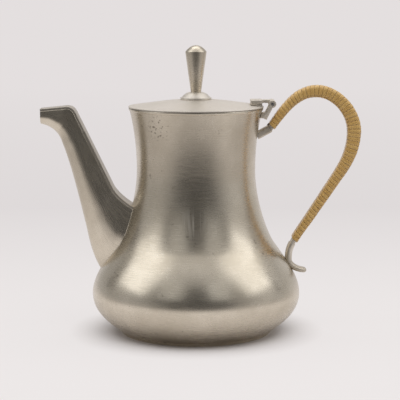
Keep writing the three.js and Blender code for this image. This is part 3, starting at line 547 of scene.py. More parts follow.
def cane():
    """Split cane: glossy fibres along each strip, each turn of its own tone, and shaded edges."""
    material, nodes, surface = painted("cane", Coat_Weight=0.35, Coat_Roughness=0.25)
    turn = nodes.attribute("run")
    across = nodes.attribute("across")
    along = nodes.attribute("length")
    fibre_place = nodes.add("CombineXYZ", {
        0: nodes.times(along, FIBRE_WAVES),
        1: nodes.times(across, FIBRE_SPLITS),
        2: turn,
    })
    fibres = nodes.noise(fibre_place, 1.0, 4.0, 0.6)
    tone_place = nodes.add("CombineXYZ", {0: turn, 1: nodes.times(along, TONE_WAVES)})
    tones = nodes.noise(tone_place, 1.3, 2.0, 0.6)
    light = nodes.mixed(nodes.rising(fibres, 0.35, 0.7), CANE_DEEP, CANE_PALE)
    toned = nodes.mixed(nodes.ranged(tones, 0.35, 0.7, 0.0, 0.5), light, CANE_BROWN)
    edge = nodes.maths("ABSOLUTE", across)
    colour = nodes.mixed(nodes.ranged(edge, 0.84, 1.0, 0.0, 0.5), toned, CANE_SHADE)
    bump = nodes.add("Bump", {"Strength": FIBRE_STRENGTH, "Distance": FIBRE_DEPTH, "Height": fibres})
    nodes.set(surface, {
        "Base Color": colour,
        "Roughness": nodes.ranged(fibres, 0.3, 0.7, 0.34, 0.5),
        "Normal": bump,
    })
    return material


def steel():
    """Plain turned steel of the pin, stud, washer and nut."""
    material, nodes, surface = painted("steel", Metallic=1.0)
    place = nodes.add("TexCoord", output=3)
    mottle = nodes.noise(place, 1 / MOTTLE_SIZE, 3.0, 0.6)
    nodes.set(surface, {
        "Base Color": nodes.mixed(mottle, STEEL_DARK, STEEL_LIGHT),
        "Roughness": nodes.ranged(mottle, 0.3, 0.7, 0.26, 0.42),
    })
    return material


BODY_PEWTER = pewter("pewter_body", "run", marked=True)
LID_PEWTER = pewter("pewter_lid", "run", roughness=0.5, light=LID_LIGHT, dark=LID_DARK)
TURNED = pewter("pewter_turned", "run", wear=0.6)
DRAWN = pewter("pewter_drawn", "along", wear=0.6)
STRIP = pewter("pewter_strip", "along", roughness=0.4, wear=0.6, light=STRIP_LIGHT, dark=STRIP_DARK)
BARE = pewter("pewter_bare", "along", roughness=0.5, wear=0.6, light=LID_LIGHT)
CAST = pewter("pewter_cast", "up", roughness=0.55, wear=0.6, light=SOLDER_LIGHT, dark=PEWTER_LIGHT)
SOLDER = pewter("pewter_solder", "up", roughness=0.4, wear=0.3, light=SOLDER_LIGHT, dark=PEWTER_LIGHT)
CANE = cane()
STEEL = steel()


# Body

def body_outline():
    """The outer outline from the mouth down to the foot band."""
    flare = Vector((sin(RIM_FLARE), cos(RIM_FLARE)))
    slope = Vector((sin(FLANK_SLOPE), -cos(FLANK_SLOPE)))
    spread = Vector((cos(FOOT_FLARE), sin(FOOT_FLARE)))
    mouth_pull = MOUTH_FULLNESS * (RIM.y - NECK.y)
    under_pull = UNDERSIDE_FULLNESS * (BELLY.y - FOOT.y)
    neck_low = NECK - Vector((0, NECK_FULLNESS * (NECK.y - FLANK.y)))
    belly_high = BELLY + Vector((0, BELLY_FULLNESS * (FLANK.y - BELLY.y)))
    mouth = [RIM, RIM - mouth_pull * flare, NECK + Vector((0, mouth_pull)), NECK]
    waist = [NECK, neck_low, FLANK - FLANK_EASE * slope, FLANK]
    hip = [FLANK, FLANK + FLANK_EASE * slope, belly_high, BELLY]
    under = [BELLY, BELLY - Vector((0, under_pull)), FOOT + under_pull * spread, FOOT]
    return joined(*(bezier(stretch, CURVE_STEPS) for stretch in (mouth, waist, hip, under)))


OUTLINE = body_outline()


def wall_radius(height):
    """The body's outer radius at a height."""
    for above, below in zip(OUTLINE, OUTLINE[1:]):
        if below.y <= height <= above.y:
            share = (height - below.y) / (above.y - below.y)
            return below.x + share * (above.x - below.x)
    return OUTLINE[0].x if height > OUTLINE[0].y else OUTLINE[-1].x


HOLE_INSET = 3 * MM
HOLE_SIDE_INSET = 2.6 * MM
HOLE_TALL = 0.5 * (SPOUT_ROOT_TOP - SPOUT_ROOT_BOTTOM) - HOLE_INSET
HOLE_WIDE = 0.5 * SPOUT_WIDTHS["root"] - HOLE_SIDE_INSET
HOLE_HEIGHT = 0.5 * (SPOUT_ROOT_TOP + SPOUT_ROOT_BOTTOM)


def in_hole(step, above, below):
    """Whether a face of the wall between two outline points lies in the opening behind the spout."""
    angle = 2 * pi * (step + 0.5) / ROUND_STEPS
    middle = 0.5 * (above + below)
    up = (middle.y - HOLE_HEIGHT) / HOLE_TALL
    across = middle.x * sin(angle) / HOLE_WIDE
    return cos(angle) < 0 and up ** 2 + across ** 2 < 1


def rim_bead():
    """The bead that stands out round the mouth, from its foot up to the mouth's edge."""
    made = []
    for k in range(BEAD_STEPS, 0, -1):
        angle = pi * k / BEAD_STEPS
        height = RIM.y - RIM_BEAD * (1 - cos(angle))
        made.append(Vector((wall_radius(height) + RIM_BEAD_STAND * sin(angle), height)))
    return made


def foot_ring():
    """The foot from the ledge that the base plate lies under to the outer edge that the pot stands on."""
    seat = FOOT.x - FOOT_RING
    ledge = seat - BASE_LEDGE
    edge = FOOT.x - FOOT_EDGE
    return plotted((ledge, BASE_THICKNESS + WALL), (ledge, BASE_THICKNESS), (seat, BASE_THICKNESS),
                   (seat, 0), (edge, 0))


def spout_opening(rings, ring_of):
    """The inner wall's faces behind the spout, and the faces that line the opening through the wall.
    An outline point's ring on the outer wall is given by ring_of."""
    hole = {(i, k) for i in range(1, rings) for k in range(ROUND_STEPS)
            if i in ring_of and in_hole(k, OUTLINE[i], OUTLINE[i + 1])}
    lining = []
    for i, k in hole:
        edges = {(i - 1, k): ((i, k), (i, k + 1)), (i + 1, k): ((i + 1, k), (i + 1, k + 1)),
                 (i, k - 1): ((i, k), (i + 1, k)), (i, k + 1): ((i, k + 1), (i + 1, k + 1))}
        for beyond, (a, b) in edges.items():
            if beyond not in hole:
                lining.append((a, b, (ring_of[b[0]], b[1]), (ring_of[a[0]], a[1])))
    return hole, lining


def body():
    """The spun body: inner and outer wall, bead, foot ring and the opening behind the spout."""
    inner = [p for p in beside(OUTLINE, WALL) if p.y > BASE_THICKNESS + WALL]
    inner[0] = Vector((inner[0].x, RIM.y))
    low = foot_ring()
    outer = [p for p in OUTLINE if p.y < RIM.y - 2 * RIM_BEAD - RIM_BEAD_CLEAR][::-1]
    first_outer = len(inner) + len(low)
    ring_of = {i: first_outer + outer.index(p) for i, p in enumerate(OUTLINE) if p in outer}
    hole, lining = spout_opening(len(inner) - 1, ring_of)
    dropped = hole | {(ring_of[i + 1], k) for i, k in hole}
    turned("body_finish", inner + low + outer + rim_bead(), BODY_PEWTER, "pot",
           ("body_upper", "body_lower"), dropped=dropped, extra=lining)


def base_plate():
    edge = FOOT.x - FOOT_RING - BASE_GAP
    outline = rounded(plotted((0, 0), (edge, 0), (edge, BASE_THICKNESS), (0, BASE_THICKNESS)), SHEET_EDGE)
    turned("base_plate_finish", outline, TURNED, "pot", ("base_plate",))


# Lid and finial

def lid_plate():
    """The shallow lid: a thin edge, a dome that is almost a cone, and a flange round its underside."""
    crown = Vector((LID_FLAT, LID_CROWN))
    edge = Vector((LID_RADIUS, LID_SEAT + LID_EDGE))
    dome = bezier([crown, between(crown, edge, 0.3, 0.18), between(crown, edge, 0.7, 0.7), edge], CURVE_STEPS)
    flange = LID_RADIUS - LID_FLANGE
    under = [p - Vector((0, LID_SHEET)) for p in dome if p.x < flange - LID_FLANGE_STEP]
    foot = plotted((flange, LID_SEAT), (LID_RADIUS, LID_SEAT))
    outline = [Vector((0, LID_CROWN - LID_SHEET))] + under + foot + dome[::-1] + [Vector((0, LID_CROWN))]
    turned("lid_finish", rounded(outline, SHEET_EDGE), LID_PEWTER, "lid", ("lid_plate",))


def lid_bezel():
    low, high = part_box("lid_bezel")
    outer = high.x
    inner = outer - BEZEL_WALL
    outline = plotted((inner, low.z), (outer, low.z), (outer, high.z), (inner, high.z), (inner, low.z))
    turned("lid_bezel_finish", rounded(outline, SHEET_EDGE)[:-1], TURNED, "lid", ("lid_bezel",))


def finial_rosette():
    brim = Vector((ROSETTE_RADIUS - ROSETTE_LEDGE, LID_CROWN + ROSETTE_EDGE))
    top = Vector((ROSETTE_TOP_RADIUS, KNOB_SEAT))
    dome = bezier([brim, between(brim, top, 0.4, 0.84), top], DOME_STEPS)
    foot = plotted((0, LID_CROWN), (ROSETTE_RADIUS, LID_CROWN), (ROSETTE_RADIUS, brim.y))
    outline = rounded(foot + dome + plotted((0, KNOB_SEAT)), ROSETTE_ROUND)
    turned("rosette_finish", outline, LID_PEWTER, "lid", ("finial_rosette",), SMALL_STEPS)


def finial_knob():
    brow = KNOB_SEAT + KNOB_HEIGHT
    rim = Vector((KNOB_TOP_RADIUS, brow))
    peak = Vector((0, brow + KNOB_DOME))
    dome = bezier([rim, between(rim, peak, 0.26, 0.58), between(rim, peak, 0.6, 1), peak], DOME_STEPS)
    outline = rounded(plotted((0, KNOB_SEAT), (KNOB_FOOT_RADIUS, KNOB_SEAT)) + dome, KNOB_ROUND)
    turned("knob_finish", outline, TURNED, "lid", ("finial_knob",), SMALL_STEPS)


# Spout

def spout_stretches():
    """The spout from inside the body to the tip: the line of its back, of its front, and its widths."""
    root_top = Vector((-wall_radius(SPOUT_ROOT_TOP), SPOUT_ROOT_TOP))
    root_low = Vector((-wall_radius(SPOUT_ROOT_BOTTOM), SPOUT_ROOT_BOTTOM))
    lip = SPOUT_TIP - Vector((0, SPOUT_TIP_DEPTH))
    shoulder, heel, knee, throat = SPOUT_SHOULDER, SPOUT_HEEL, SPOUT_KNEE, SPOUT_THROAT
    before_bend = shoulder + SPOUT_SHOULDER_BEND * (heel - shoulder).normalized()
    after_bend = shoulder + SPOUT_SHOULDER_BEND * (SPOUT_TIP - shoulder).normalized()
    nape = heel.lerp(before_bend, SPOUT_NAPE_SHARE)
    flare = curve(root_top, between(root_top, heel, 0.66, 0.45), heel)
    boot = curve(root_low, between(root_low, knee, 0.64, 0.34), knee)
    shin = curve(knee, between(knee, throat, 0.26, 0.3), between(knee, throat, 0.63, 0.75), throat)
    under = curve(throat, between(throat, lip, 0.14, 0.55), between(throat, lip, 0.5, 0.88), lip)
    bend_from, bend_to = SPOUT_BEND_SHARES
    return [
        (line(root_top + SPOUT_TUCK, root_top), line(root_low + SPOUT_TUCK, root_low), "root", "root"),
        (flare, boot, "root", "knee"),
        (line(heel, nape), shin, "knee", "waist"),
        (line(nape, before_bend), part(under, 0, bend_from), "waist", "shoulder"),
        (curve(before_bend, shoulder, after_bend), part(under, bend_from, bend_to), "shoulder", "shoulder"),
        (line(after_bend, SPOUT_TIP), part(under, bend_to, 1), "shoulder", "tip"),
    ]


STRETCHES = spout_stretches()
STRETCH_ROWS = 12
SPOUT_ROWS = [i / STRETCH_ROWS for i in range(STRETCH_ROWS * len(STRETCHES) + 1)]
SIDE_STEPS = 6
FRONT_STEPS = 12
SPOUT_SEATED = 2.5
SEATING_STEPS = 30
SPOUT_BITE = 0.3 * MM
SPOUT_ROUND = 0.6
BOOT_ROUND = 0.9
BOOT_SHARE = 0.55
BOOT_END = 2.7
BOOT_EASE = 0.7
BACK_ROUND = 0.5 * MM
BACK_EDGE = 0.45 * MM
BACK_THICKNESS = 1.5 * MM
BACK_OVERLAP = 0.3 * MM
BACK_INSET = 0.15 * MM
BACK_STEPS = 4
BACK_REACH = 0.05
BACK_END = 1e-6
SHEET_CREASE = 50
SHEET_LINE_STEP = 1.2 * MM


def station(s):
    """The spout's section at s stretches along it: back, front, half width of the bulge and of the back."""
    i = min(int(s), len(STRETCHES) - 1)
    back, front, start, end = STRETCHES[i]
    t = s - i
    bulge = 0.5 * (SPOUT_WIDTHS[start] + t * (SPOUT_WIDTHS[end] - SPOUT_WIDTHS[start]))
    plate = 0.5 * (BACK_WIDTHS[start] + t * (BACK_WIDTHS[end] - BACK_WIDTHS[start]))
    return back(t), front(t), bulge, plate


def quarter(radius):
    """How far in and down from a square corner the points of a quarter circle lie that eases it."""
    return [(radius * (1 - sin(a)), radius * (1 - cos(a))) for a in quarter_turn(EASE_STEPS)]


def channel_points(s, thickness):
    """The channel's section at s, as (depth, across) points from one back edge round to the other."""
    back, front, bulge, plate = station(s)
    depth = (front - back).length
    low = min(1.0, max(0.0, (BOOT_END - s) / BOOT_EASE))
    front_round = min(bulge, SPOUT_ROUND * depth)
    front_round += BOOT_SHARE * low * (BOOT_ROUND * depth - front_round)
    edge = [Vector((inset, plate - drop - thickness)) for inset, drop in quarter(BACK_ROUND)][::-1]
    side = [Vector((BACK_ROUND + (depth - front_round - BACK_ROUND) * k / SIDE_STEPS,
                    plate + (bulge - plate) * k / SIDE_STEPS - thickness))
            for k in range(1, SIDE_STEPS)]
    arc = [Vector((depth - front_round + (front_round - thickness) * sin(a),
                   (bulge - thickness) * cos(a))) for a in quarter_turn(FRONT_STEPS)]
    half = edge + side + arc
    return [Vector((p.x, -p.y)) for p in half] + half[::-1][1:]


def standing(s, corner):
    """A (depth, across) point of the section at s, in space."""
    back, front = station(s)[:2]
    place = back + corner.x * (front - back).normalized()
    return Vector((place.x, corner.y, place.y))


def outside(place):
    """How far a place lies outside the body's wall, less the bite that the spout takes into it."""
    return hypot(place.x, place.y) - wall_radius(place.z) + SPOUT_BITE


def seated(place_at):
    """Rows of a line of the spout, given as a function of s, from the body's wall to the tip."""
    low, high = 0.0, SPOUT_SEATED
    for _ in range(SEATING_STEPS):
        middle = 0.5 * (low + high)
        if outside(place_at(middle)) > 0:
            high = middle
        else:
            low = middle
    rows = [high + s * (SPOUT_SEATED - high) / SPOUT_SEATED if s < SPOUT_SEATED else s for s in SPOUT_ROWS]
    return [place_at(s) for s in rows]


def channel_line(j, thickness):
    """The seated line along the channel of one point of its section."""
    return seated(lambda s: standing(s, channel_points(s, thickness)[j]))


def spout_sheet(name, lines, material, node):
    """A sheet of the spout, skinned between its seated lines."""
    sections = [list(row) for row in zip(*lines)]
    run = [j * SHEET_LINE_STEP for _ in sections for j in range(len(lines))]
    skin(name, sections, material, "pot", (node,), run, SHEET_CREASE)


def spout_channel():
    """The spout's rounded front and its two sides, one bent sheet seated on the body."""
    count = len(channel_points(0, 0))
    outer = [channel_line(j, 0) for j in range(count)]
    inner = [channel_line(j, SPOUT_WALL) for j in reversed(range(count))]
    spout_sheet("spout_finish", outer + inner, DRAWN, "spout_channel")


def back_points(s):
    """The back strip's section at s, flat with eased edges, as (height, across) points."""
    plate = station(s)[3] - BACK_INSET
    half = [Vector((BACK_THICKNESS - inset, plate - drop)) for inset, drop in quarter(BACK_EDGE)]
    flat = [Vector((BACK_THICKNESS, (plate - BACK_EDGE) * k / BACK_STEPS))
            for k in range(BACK_STEPS - 1, -BACK_STEPS, -1)]
    crown = half + flat + [Vector((p.x, -p.y)) for p in half[::-1]]
    return crown + [Vector((-BACK_OVERLAP, -p.y)) for p in crown]


def spout_back():
    """The strip that closes the channel at the back and runs over the shoulder to the lip."""
    def place(s, j):
        before = station(max(s - BACK_REACH, 0))[0]
        after = station(min(s + BACK_REACH, len(STRETCHES) - BACK_END))[0]
        along = (after - before).normalized()
        out = Vector((along.y, -along.x))
        corner = back_points(s)[j]
        middle = station(s)[0] + corner.x * out
        return Vector((middle.x, corner.y, middle.y))

    lines = [seated(lambda s, j=j: place(s, j)) for j in range(len(back_points(0)))]
    spout_sheet("spout_back_finish", lines, STRIP, "spout_back_plate")


ROOT_SOLDER = 0.5 * MM
BACK_SOLDER = 0.22 * MM
SEAM_SIDES = 8
SEAM_ANGLES = [2 * pi * k / SEAM_SIDES for k in range(SEAM_SIDES)]
NEARLY_UPRIGHT = 0.9


def seam(name, points, radius):
    """A bead of solder along a row of points on the pot."""
    sections = []
    for i, place in enumerate(points):
        along = (points[min(i + 1, len(points) - 1)] - points[max(i - 1, 0)]).normalized()
        aside = Vector((0, 0, 1)) if abs(along.z) < NEARLY_UPRIGHT else Vector((1, 0, 0))
        first = along.cross(aside).normalized()
        second = along.cross(first)
        sections.append([place + radius * (cos(a) * first + sin(a) * second) for a in SEAM_ANGLES])
    skin(name, sections, SOLDER, "pot")


def spout_seams():
    """The solder round the spout's root and along both edges of its back strip."""
    count = len(channel_points(0, 0))
    seam("spout_seam", [channel_line(j, 0)[0] for j in range(count)], ROOT_SOLDER)
    for side, j in (("left", 0), ("right", count - 1)):
        edge = channel_line(j, 0)
        edge = [p for i, p in enumerate(edge) if i == 0 or (p - edge[i - 1]).length > WELDED]
        seam("back_seam_" + side, edge[1:-1], BACK_SOLDER)


# Handle

def handle_stretches():
    """The bar's line as curves, with the thickness at both ends and whether cane covers it."""
    rise = Vector((cos(BAR_ROOT_RISE), sin(BAR_ROOT_RISE)))
    wall = Vector((wall_radius(BAR_ROOT_HEIGHT), BAR_ROOT_HEIGHT))
    bend = wall + BAR_ROOT_LENGTH * rise
    crown, side, limb, shin = BAR_CROWN, BAR_SIDE, BAR_LIMB, BAR_SHIN
    slope = (limb - shin).normalized()
    foot_x = wall_radius(BAR_FOOT_HEIGHT) + THICKNESS["foot"] / 2 - BAR_FOOT_BITE
    foot = Vector((foot_x, BAR_FOOT_HEIGHT))
    ankle = Vector((foot_x + BAR_ANKLE_OFFSET, BAR_WRAP_END_HEIGHT))
    lean = Vector((sin(BAR_ANKLE_LEAN), cos(BAR_ANKLE_LEAN)))
    tail = foot + BAR_TAIL
    upper = limb + LIMB_EASE * (side.y - limb.y) * slope
    lower = shin - LIMB_EASE * (shin.y - ankle.y) * slope
    above = ankle + ANKLE_EASE * (shin.y - ankle.y) * lean
    below = ankle - ANKLE_EASE * (ankle.y - foot.y) * lean
    instep = foot + Vector((0, FOOT_EASE * (ankle.y - foot.y)))
    heel = foot + Vector((0, QUARTER_TURN * BAR_TAIL.y))
    toe = tail - Vector((QUARTER_TURN * BAR_TAIL.x, 0))
    climb = curve(bend, between(bend, crown, 0.36, 0.64), between(bend, crown, 0.6, 1), crown)
    fall = curve(crown, between(crown, side, 0.5, 0), between(crown, side, 1, 0.5), side)
    return [
        (line(wall - BAR_ROOT_SINK * rise, bend), "root", "root", False),
        (climb, "wrap start", "crown", True),
        (fall, "crown", "side", True),
        (curve(side, between(side, limb, 0, 0.45), upper, limb), "side", "limb", True),
        (line(limb, shin), "limb", "shin", True),
        (curve(shin, lower, above, ankle), "shin", "wrap end", True),
        (curve(ankle, below, instep, foot), "foot", "foot", False),
        (curve(foot, heel, toe, tail), "foot", "tail", False),
    ]


RAIL_STEPS = 40
RAIL_REACH = 0.01


def handle_rail():
    """The bar's line as close steps of length so far, place, direction, thickness and whether wrapped."""
    rail = []
    length = 0.0
    for path, start, end, wrapped in handle_stretches():
        for i in range(RAIL_STEPS + 1):
            t = i / RAIL_STEPS
            place = path(t)
            length += (place - rail[-1][1]).length if rail else 0.0
            along = (path(min(t + RAIL_REACH, 1)) - path(max(t - RAIL_REACH, 0))).normalized()
            thick = THICKNESS[start] + t * (THICKNESS[end] - THICKNESS[start])
            rail.append((length, place, along, thick, wrapped))
    return rail


RAIL = handle_rail()


def rail_at(length):
    """The bar's place, direction and thickness at a length along it."""
    following = next((i for i, step in enumerate(RAIL) if step[0] > length), len(RAIL) - 1)
    a, b = RAIL[max(following - 1, 0)], RAIL[following]
    t = 0.0 if b[0] == a[0] else (length - a[0]) / (b[0] - a[0])
    return a[1].lerp(b[1], t), a[2].lerp(b[2], t).normalized(), a[3] + t * (b[3] - a[3])


BAR_ROUND = 0.24
BAR_CREASE = 60
BAR_LINE_STEP = 0.6 * MM
OVAL_FULLNESS = 0.8
TIP_ROUND = 2 * MM
TIP_THINNING = 0.75


def rounded_loop(thick, wide, radius):
    """A rectangle with round corners, as (across the bar's plane, along Y) points."""
    loop = []
    for corner, (sx, sy) in enumerate(((1, 1), (-1, 1), (-1, -1), (1, -1))):
        for k in range(CORNER_STEPS + 1):
            angle = 0.5 * pi * (corner + k / CORNER_STEPS)
            loop.append(Vector((sx * (thick / 2 - radius) + radius * cos(angle),
                                sy * (wide / 2 - radius) + radius * sin(angle))))
    return loop


def oval_loop(thick, wide):
    """A full oval, as (across the bar's plane, along Y) points."""
    loop = []
    for k in range(LOOP_POINTS):
        angle = 2 * pi * (k + 0.5) / LOOP_POINTS
        x, y = cos(angle), sin(angle)
        loop.append(Vector((thick / 2 * copysign(abs(x) ** OVAL_FULLNESS, x),
                            wide / 2 * copysign(abs(y) ** OVAL_FULLNESS, y))))
    return loop


def beside_rail(place, along, corner):
    return Vector((place.x - corner.x * along.y, corner.y, place.y + corner.x * along.x))


def handle_bar():
    """The bent metal bar: flat at its root and under the cane, oval at its foot and round at its tip."""
    sections, run = [], []
    steps = [step for i, step in enumerate(RAIL)
             if i == 0 or step[0] - RAIL[i - 1][0] > TOUCHING or step[3] != RAIL[i - 1][3]]
    end = steps[-1][0]
    for length, place, along, thick, wrapped in steps:
        past = max(0.0, 1 - (end - length) / (0.5 * BAR_WIDTH))
        near_tip = max(0.0, 1 - (end - length) / TIP_ROUND)
        wide = BAR_TIP_WIDTH + (BAR_WIDTH - BAR_TIP_WIDTH) * sqrt(max(0.0, 1 - past ** 2))
        thin = thick * (1 - TIP_THINNING * near_tip ** 3)
        flat = wrapped or length < BAR_FLAT_ROOT
        loop = rounded_loop(thin, wide, BAR_ROUND * thin) if flat else oval_loop(thin, wide)
        sections.append([beside_rail(place, along, p) for p in loop])
        run.extend(k * BAR_LINE_STEP for k in range(LOOP_POINTS))
    skin("handle_finish", sections, BARE, "pot", ("handle_bar",), run, BAR_CREASE)


CANE_SEED = 7
CANE_JITTER = 0.012
CANE_THINNEST = -0.16
CANE_THICKEST = -0.02
CANE_CHAMFER = 0.3
CANE_CREASE = 70
CANE_FULL_WIDTH = 2.7 * MM
CANE_PROFILE = ((-1.0, 0.74), (-0.82, 0.92), (-0.35, 1.0), (0.35, 1.0), (0.82, 0.92), (1.0, 0.74),
                (1.0, -0.2), (-1.0, -0.2))


def cane_wrap():
    """One long strip of split cane wound tightly round the bar, each turn a little different."""
    draw = random.Random(CANE_SEED)
    wrapped = [step for step in RAIL if step[4]]
    start = wrapped[0][0] + 0.5 * CANE_FULL_WIDTH
    end = wrapped[-1][0] - 0.5 * CANE_FULL_WIDTH
    turns = int((end - start) / CANE_PITCH)
    jitter = [draw.uniform(-CANE_JITTER, CANE_JITTER) * CANE_PITCH for _ in range(turns + 2)]
    swell = [draw.uniform(CANE_THINNEST, CANE_THICKEST) * CANE_THICKNESS for _ in range(turns + 2)]
    sections, run, across, along_strip = [], [], [], []
    for i in range(turns * LOOP_POINTS + 1):
        turn, share = divmod(i, LOOP_POINTS)
        t = share / LOOP_POINTS
        middle = start + CANE_PITCH * i / LOOP_POINTS + jitter[turn] * (1 - t) + jitter[turn + 1] * t
        lift = swell[turn] * (1 - t) + swell[turn + 1] * t
        section = []
        for side, height in CANE_PROFILE:
            place, along, thick = rail_at(middle + 0.5 * side * CANE_FULL_WIDTH)
            grow = CANE_GAP + (CANE_THICKNESS + lift) * height
            chamfer = min(BAR_CHAMFER, CANE_CHAMFER * thick) + grow
            loop = rounded_loop(thick + 2 * grow, BAR_WIDTH + 2 * grow, chamfer)
            section.append(beside_rail(place, along, loop[share]))
            run.append(i / LOOP_POINTS)
            across.append(side)
            along_strip.append(i / LOOP_POINTS * 2 * (thick + BAR_WIDTH))
        sections.append(section)
    made = skin("cane_finish", sections, CANE, "pot", ("cane_wrap",), run, CANE_CREASE)
    numbered(made.data, "across", across)
    numbered(made.data, "length", along_strip)


# Hinge and small pieces

HINGE_EDGE = 0.3 * MM
PIN_EDGE = 0.1 * MM
NUT_EDGE = 0.15 * MM
BED_HALF_WIDTH = 7.9 * MM
BED_FROM = 41 * MM
BED_TO = 45.7 * MM
BED_TOP = 161 * MM
BED_SLOPE = 0.16
BED_SINK = 0.3 * MM


def strap_bed():
    """The solder that fills the space between the strap and the slope of the lid."""
    low_outer = LID_SEAT + LID_EDGE - BED_SINK
    low_inner = low_outer + BED_SLOPE * (BED_TO - BED_FROM)
    sections = [[Vector((BED_FROM, y, low_inner)), Vector((BED_TO, y, low_outer)),
                 Vector((BED_TO, y, BED_TOP)), Vector((BED_FROM, y, BED_TOP))]
                for y in (-BED_HALF_WIDTH, BED_HALF_WIDTH)]
    skin("strap_bed", sections, SOLDER, "lid")


def small_pieces():
    """The hinge's leaves and pin, the strainer, and what holds the finial under the lid."""
    softened("hinge_body_leaf", CAST, "pot", HINGE_EDGE)
    softened("hinge_lid_leaf", CAST, "lid", HINGE_EDGE)
    strap_bed()
    softened("hinge_pin", STEEL, "pot", PIN_EDGE)
    softened("spout_strainer", CAST, "pot", 0)
    for node in ("finial_stud", "finial_washer", "finial_nut"):
        softened(node, STEEL, "lid", NUT_EDGE)


# Studio

FLOOR_COLOUR = (0.70, 0.67, 0.665, 1)
SURROUND_COLOUR = (0.40, 0.375, 0.365, 1)
FLOOR_GLOW = (0.87, 0.835, 0.83, 1)
SURROUND_GLOW = (0.57, 0.54, 0.53, 1)
MIDDLE_GLOW = (0.735, 0.70, 0.70, 1)
BACKDROP_GLOW = (0.775, 0.738, 0.738, 1)
GLOW_NEAR = 0.8
MIDDLE_FROM = 0.05
MIDDLE_TO = 0.6
# Metres from the pot's axis over which the floor's glow rises from none, to the camera and in the metal: a
# painted shadow round the pot's foot
SHADE_FROM = 0.056
SHADE_TO = 0.09
MIRRORED_SHADE_TO = 0.16
PALE_FRONT = -0.19
PALE_SIDE = 0.27
PALE_EASE = 0.12
SEEN_SURROUND = 0.45
FLOOR_FRONT = -0.46
FLOOR_SIDE = 1.2
FLOOR_BACK = 2.6
SWEEP_RADIUS = 0.8
SWEEP_HEIGHT = 2.4
SWEEP_STEPS = 16


def pale_sheet():
    """The floor's paint, pale round the pot and behind it and darker to the front and the sides, where
    the metal mirrors it. It glows to the camera and in reflections, but the glow fades out close round
    the pot, a painted shadow at its foot, and the camera sees only a share of the darker part."""
    material, nodes, surface = painted("floor", Roughness=0.8, Specular_IOR_Level=0.1)
    seen = nodes.add("LightPath")
    mirrored = nodes.largest(seen.node.outputs["Is Glossy Ray"], seen.node.outputs["Is Transmission Ray"])
    place = nodes.add("TexCoord", output=3)
    x, y = nodes.axes(place)[:2]
    middle = nodes.rising(y, MIDDLE_FROM, MIDDLE_TO)
    aside = nodes.maths("ABSOLUTE", x)
    beyond = nodes.largest(nodes.rising(y, PALE_FRONT, PALE_FRONT - PALE_EASE),
                           nodes.rising(aside, PALE_SIDE, PALE_SIDE + PALE_EASE))
    most = nodes.ranged(mirrored, 0.0, 1.0, SEEN_SURROUND, 1.0)
    away = nodes.distance(place, (0, 0, 0))
    shown = nodes.times(seen, nodes.rising(away, SHADE_FROM, SHADE_TO))
    reflected = nodes.times(mirrored, nodes.rising(away, SHADE_FROM, MIRRORED_SHADE_TO))
    fullness = nodes.ranged(middle, 0.0, 1.0, GLOW_NEAR, 1.0)
    share = nodes.times(nodes.largest(shown, reflected), fullness)
    near_glow = nodes.mixed(nodes.maths("MINIMUM", beyond, most), FLOOR_GLOW, SURROUND_GLOW)
    far_glow = nodes.mixed(nodes.rising(y, MIDDLE_TO, FLOOR_BACK), MIDDLE_GLOW, BACKDROP_GLOW)
    glow = nodes.add("Emission", {"Color": nodes.mixed(middle, near_glow, far_glow)})
    nodes.set(surface, {"Base Color": nodes.mixed(beyond, FLOOR_COLOUR, SURROUND_COLOUR)})
    both = nodes.add("MixShader", {0: share, 1: surface.outputs["BSDF"], 2: glow})
    nodes.set(material.node_tree.nodes["Material Output"], {"Surface": both})
    return material


def stage_sheet(name, vertices, faces, material):
    """An open sheet of the stage, which is no piece of the object."""
    mesh = bpy.data.meshes.new(name)
    mesh.from_pydata([tuple(v) for v in vertices], [], faces)
    mesh.materials.append(material)
    made = placed(name, mesh)
    return made


def floor():
    """A pale sheet that lies under the pot and sweeps up far behind it."""
    turn = [Vector((FLOOR_BACK + SWEEP_RADIUS * sin(a), SWEEP_RADIUS * (1 - cos(a))))
            for a in quarter_turn(SWEEP_STEPS)]
    path = [Vector((FLOOR_FRONT, 0))] + turn + [Vector((FLOOR_BACK + SWEEP_RADIUS, SWEEP_HEIGHT))]
    vertices = [(x, p.x, p.y) for p in path for x in (-FLOOR_SIDE, FLOOR_SIDE)]
    faces = [(2 * i, 2 * i + 1, 2 * i + 3, 2 * i + 2) for i in range(len(path) - 1)]
    sheet = stage_sheet("floor", vertices, faces, pale_sheet())
    sheet.data.polygons.foreach_set("use_smooth", [True] * len(faces))


OUTER_LEVEL = 0.96
INNER_LEVEL = 0.46
FILL_LEVEL = 1.82
TOP_LEVEL = 1.32
LAMP_DISTANCE = 1.3
LAMP_TARGET = Vector((0, 0, 0.08))


def softbox(name, azimuth, elevation, width, height, level, mirrored=True):
    """A flat lamp that faces the pot. Azimuth 0 is in front of it and 90 at its handle's side."""
    lamp = bpy.data.lights.new(name, "AREA")
    lamp.shape = "RECTANGLE"
    lamp.size, lamp.size_y = width, height
    lamp.energy = pi * width * height * level
    made = placed(name, lamp)
    a = radians(azimuth)
    e = radians(elevation)
    back = Vector((sin(a) * cos(e), -cos(a) * cos(e), sin(e)))
    made.location = LAMP_TARGET + LAMP_DISTANCE * back
    made.rotation_euler = back.to_track_quat("Z", "Y").to_euler()
    made.visible_glossy = mirrored


CARD_COLOUR = (0.12, 0.11, 0.10, 1)
CARD_DISTANCE = 0.6
CARD_BOTTOM = 0.14
CARD_TOP = 0.45


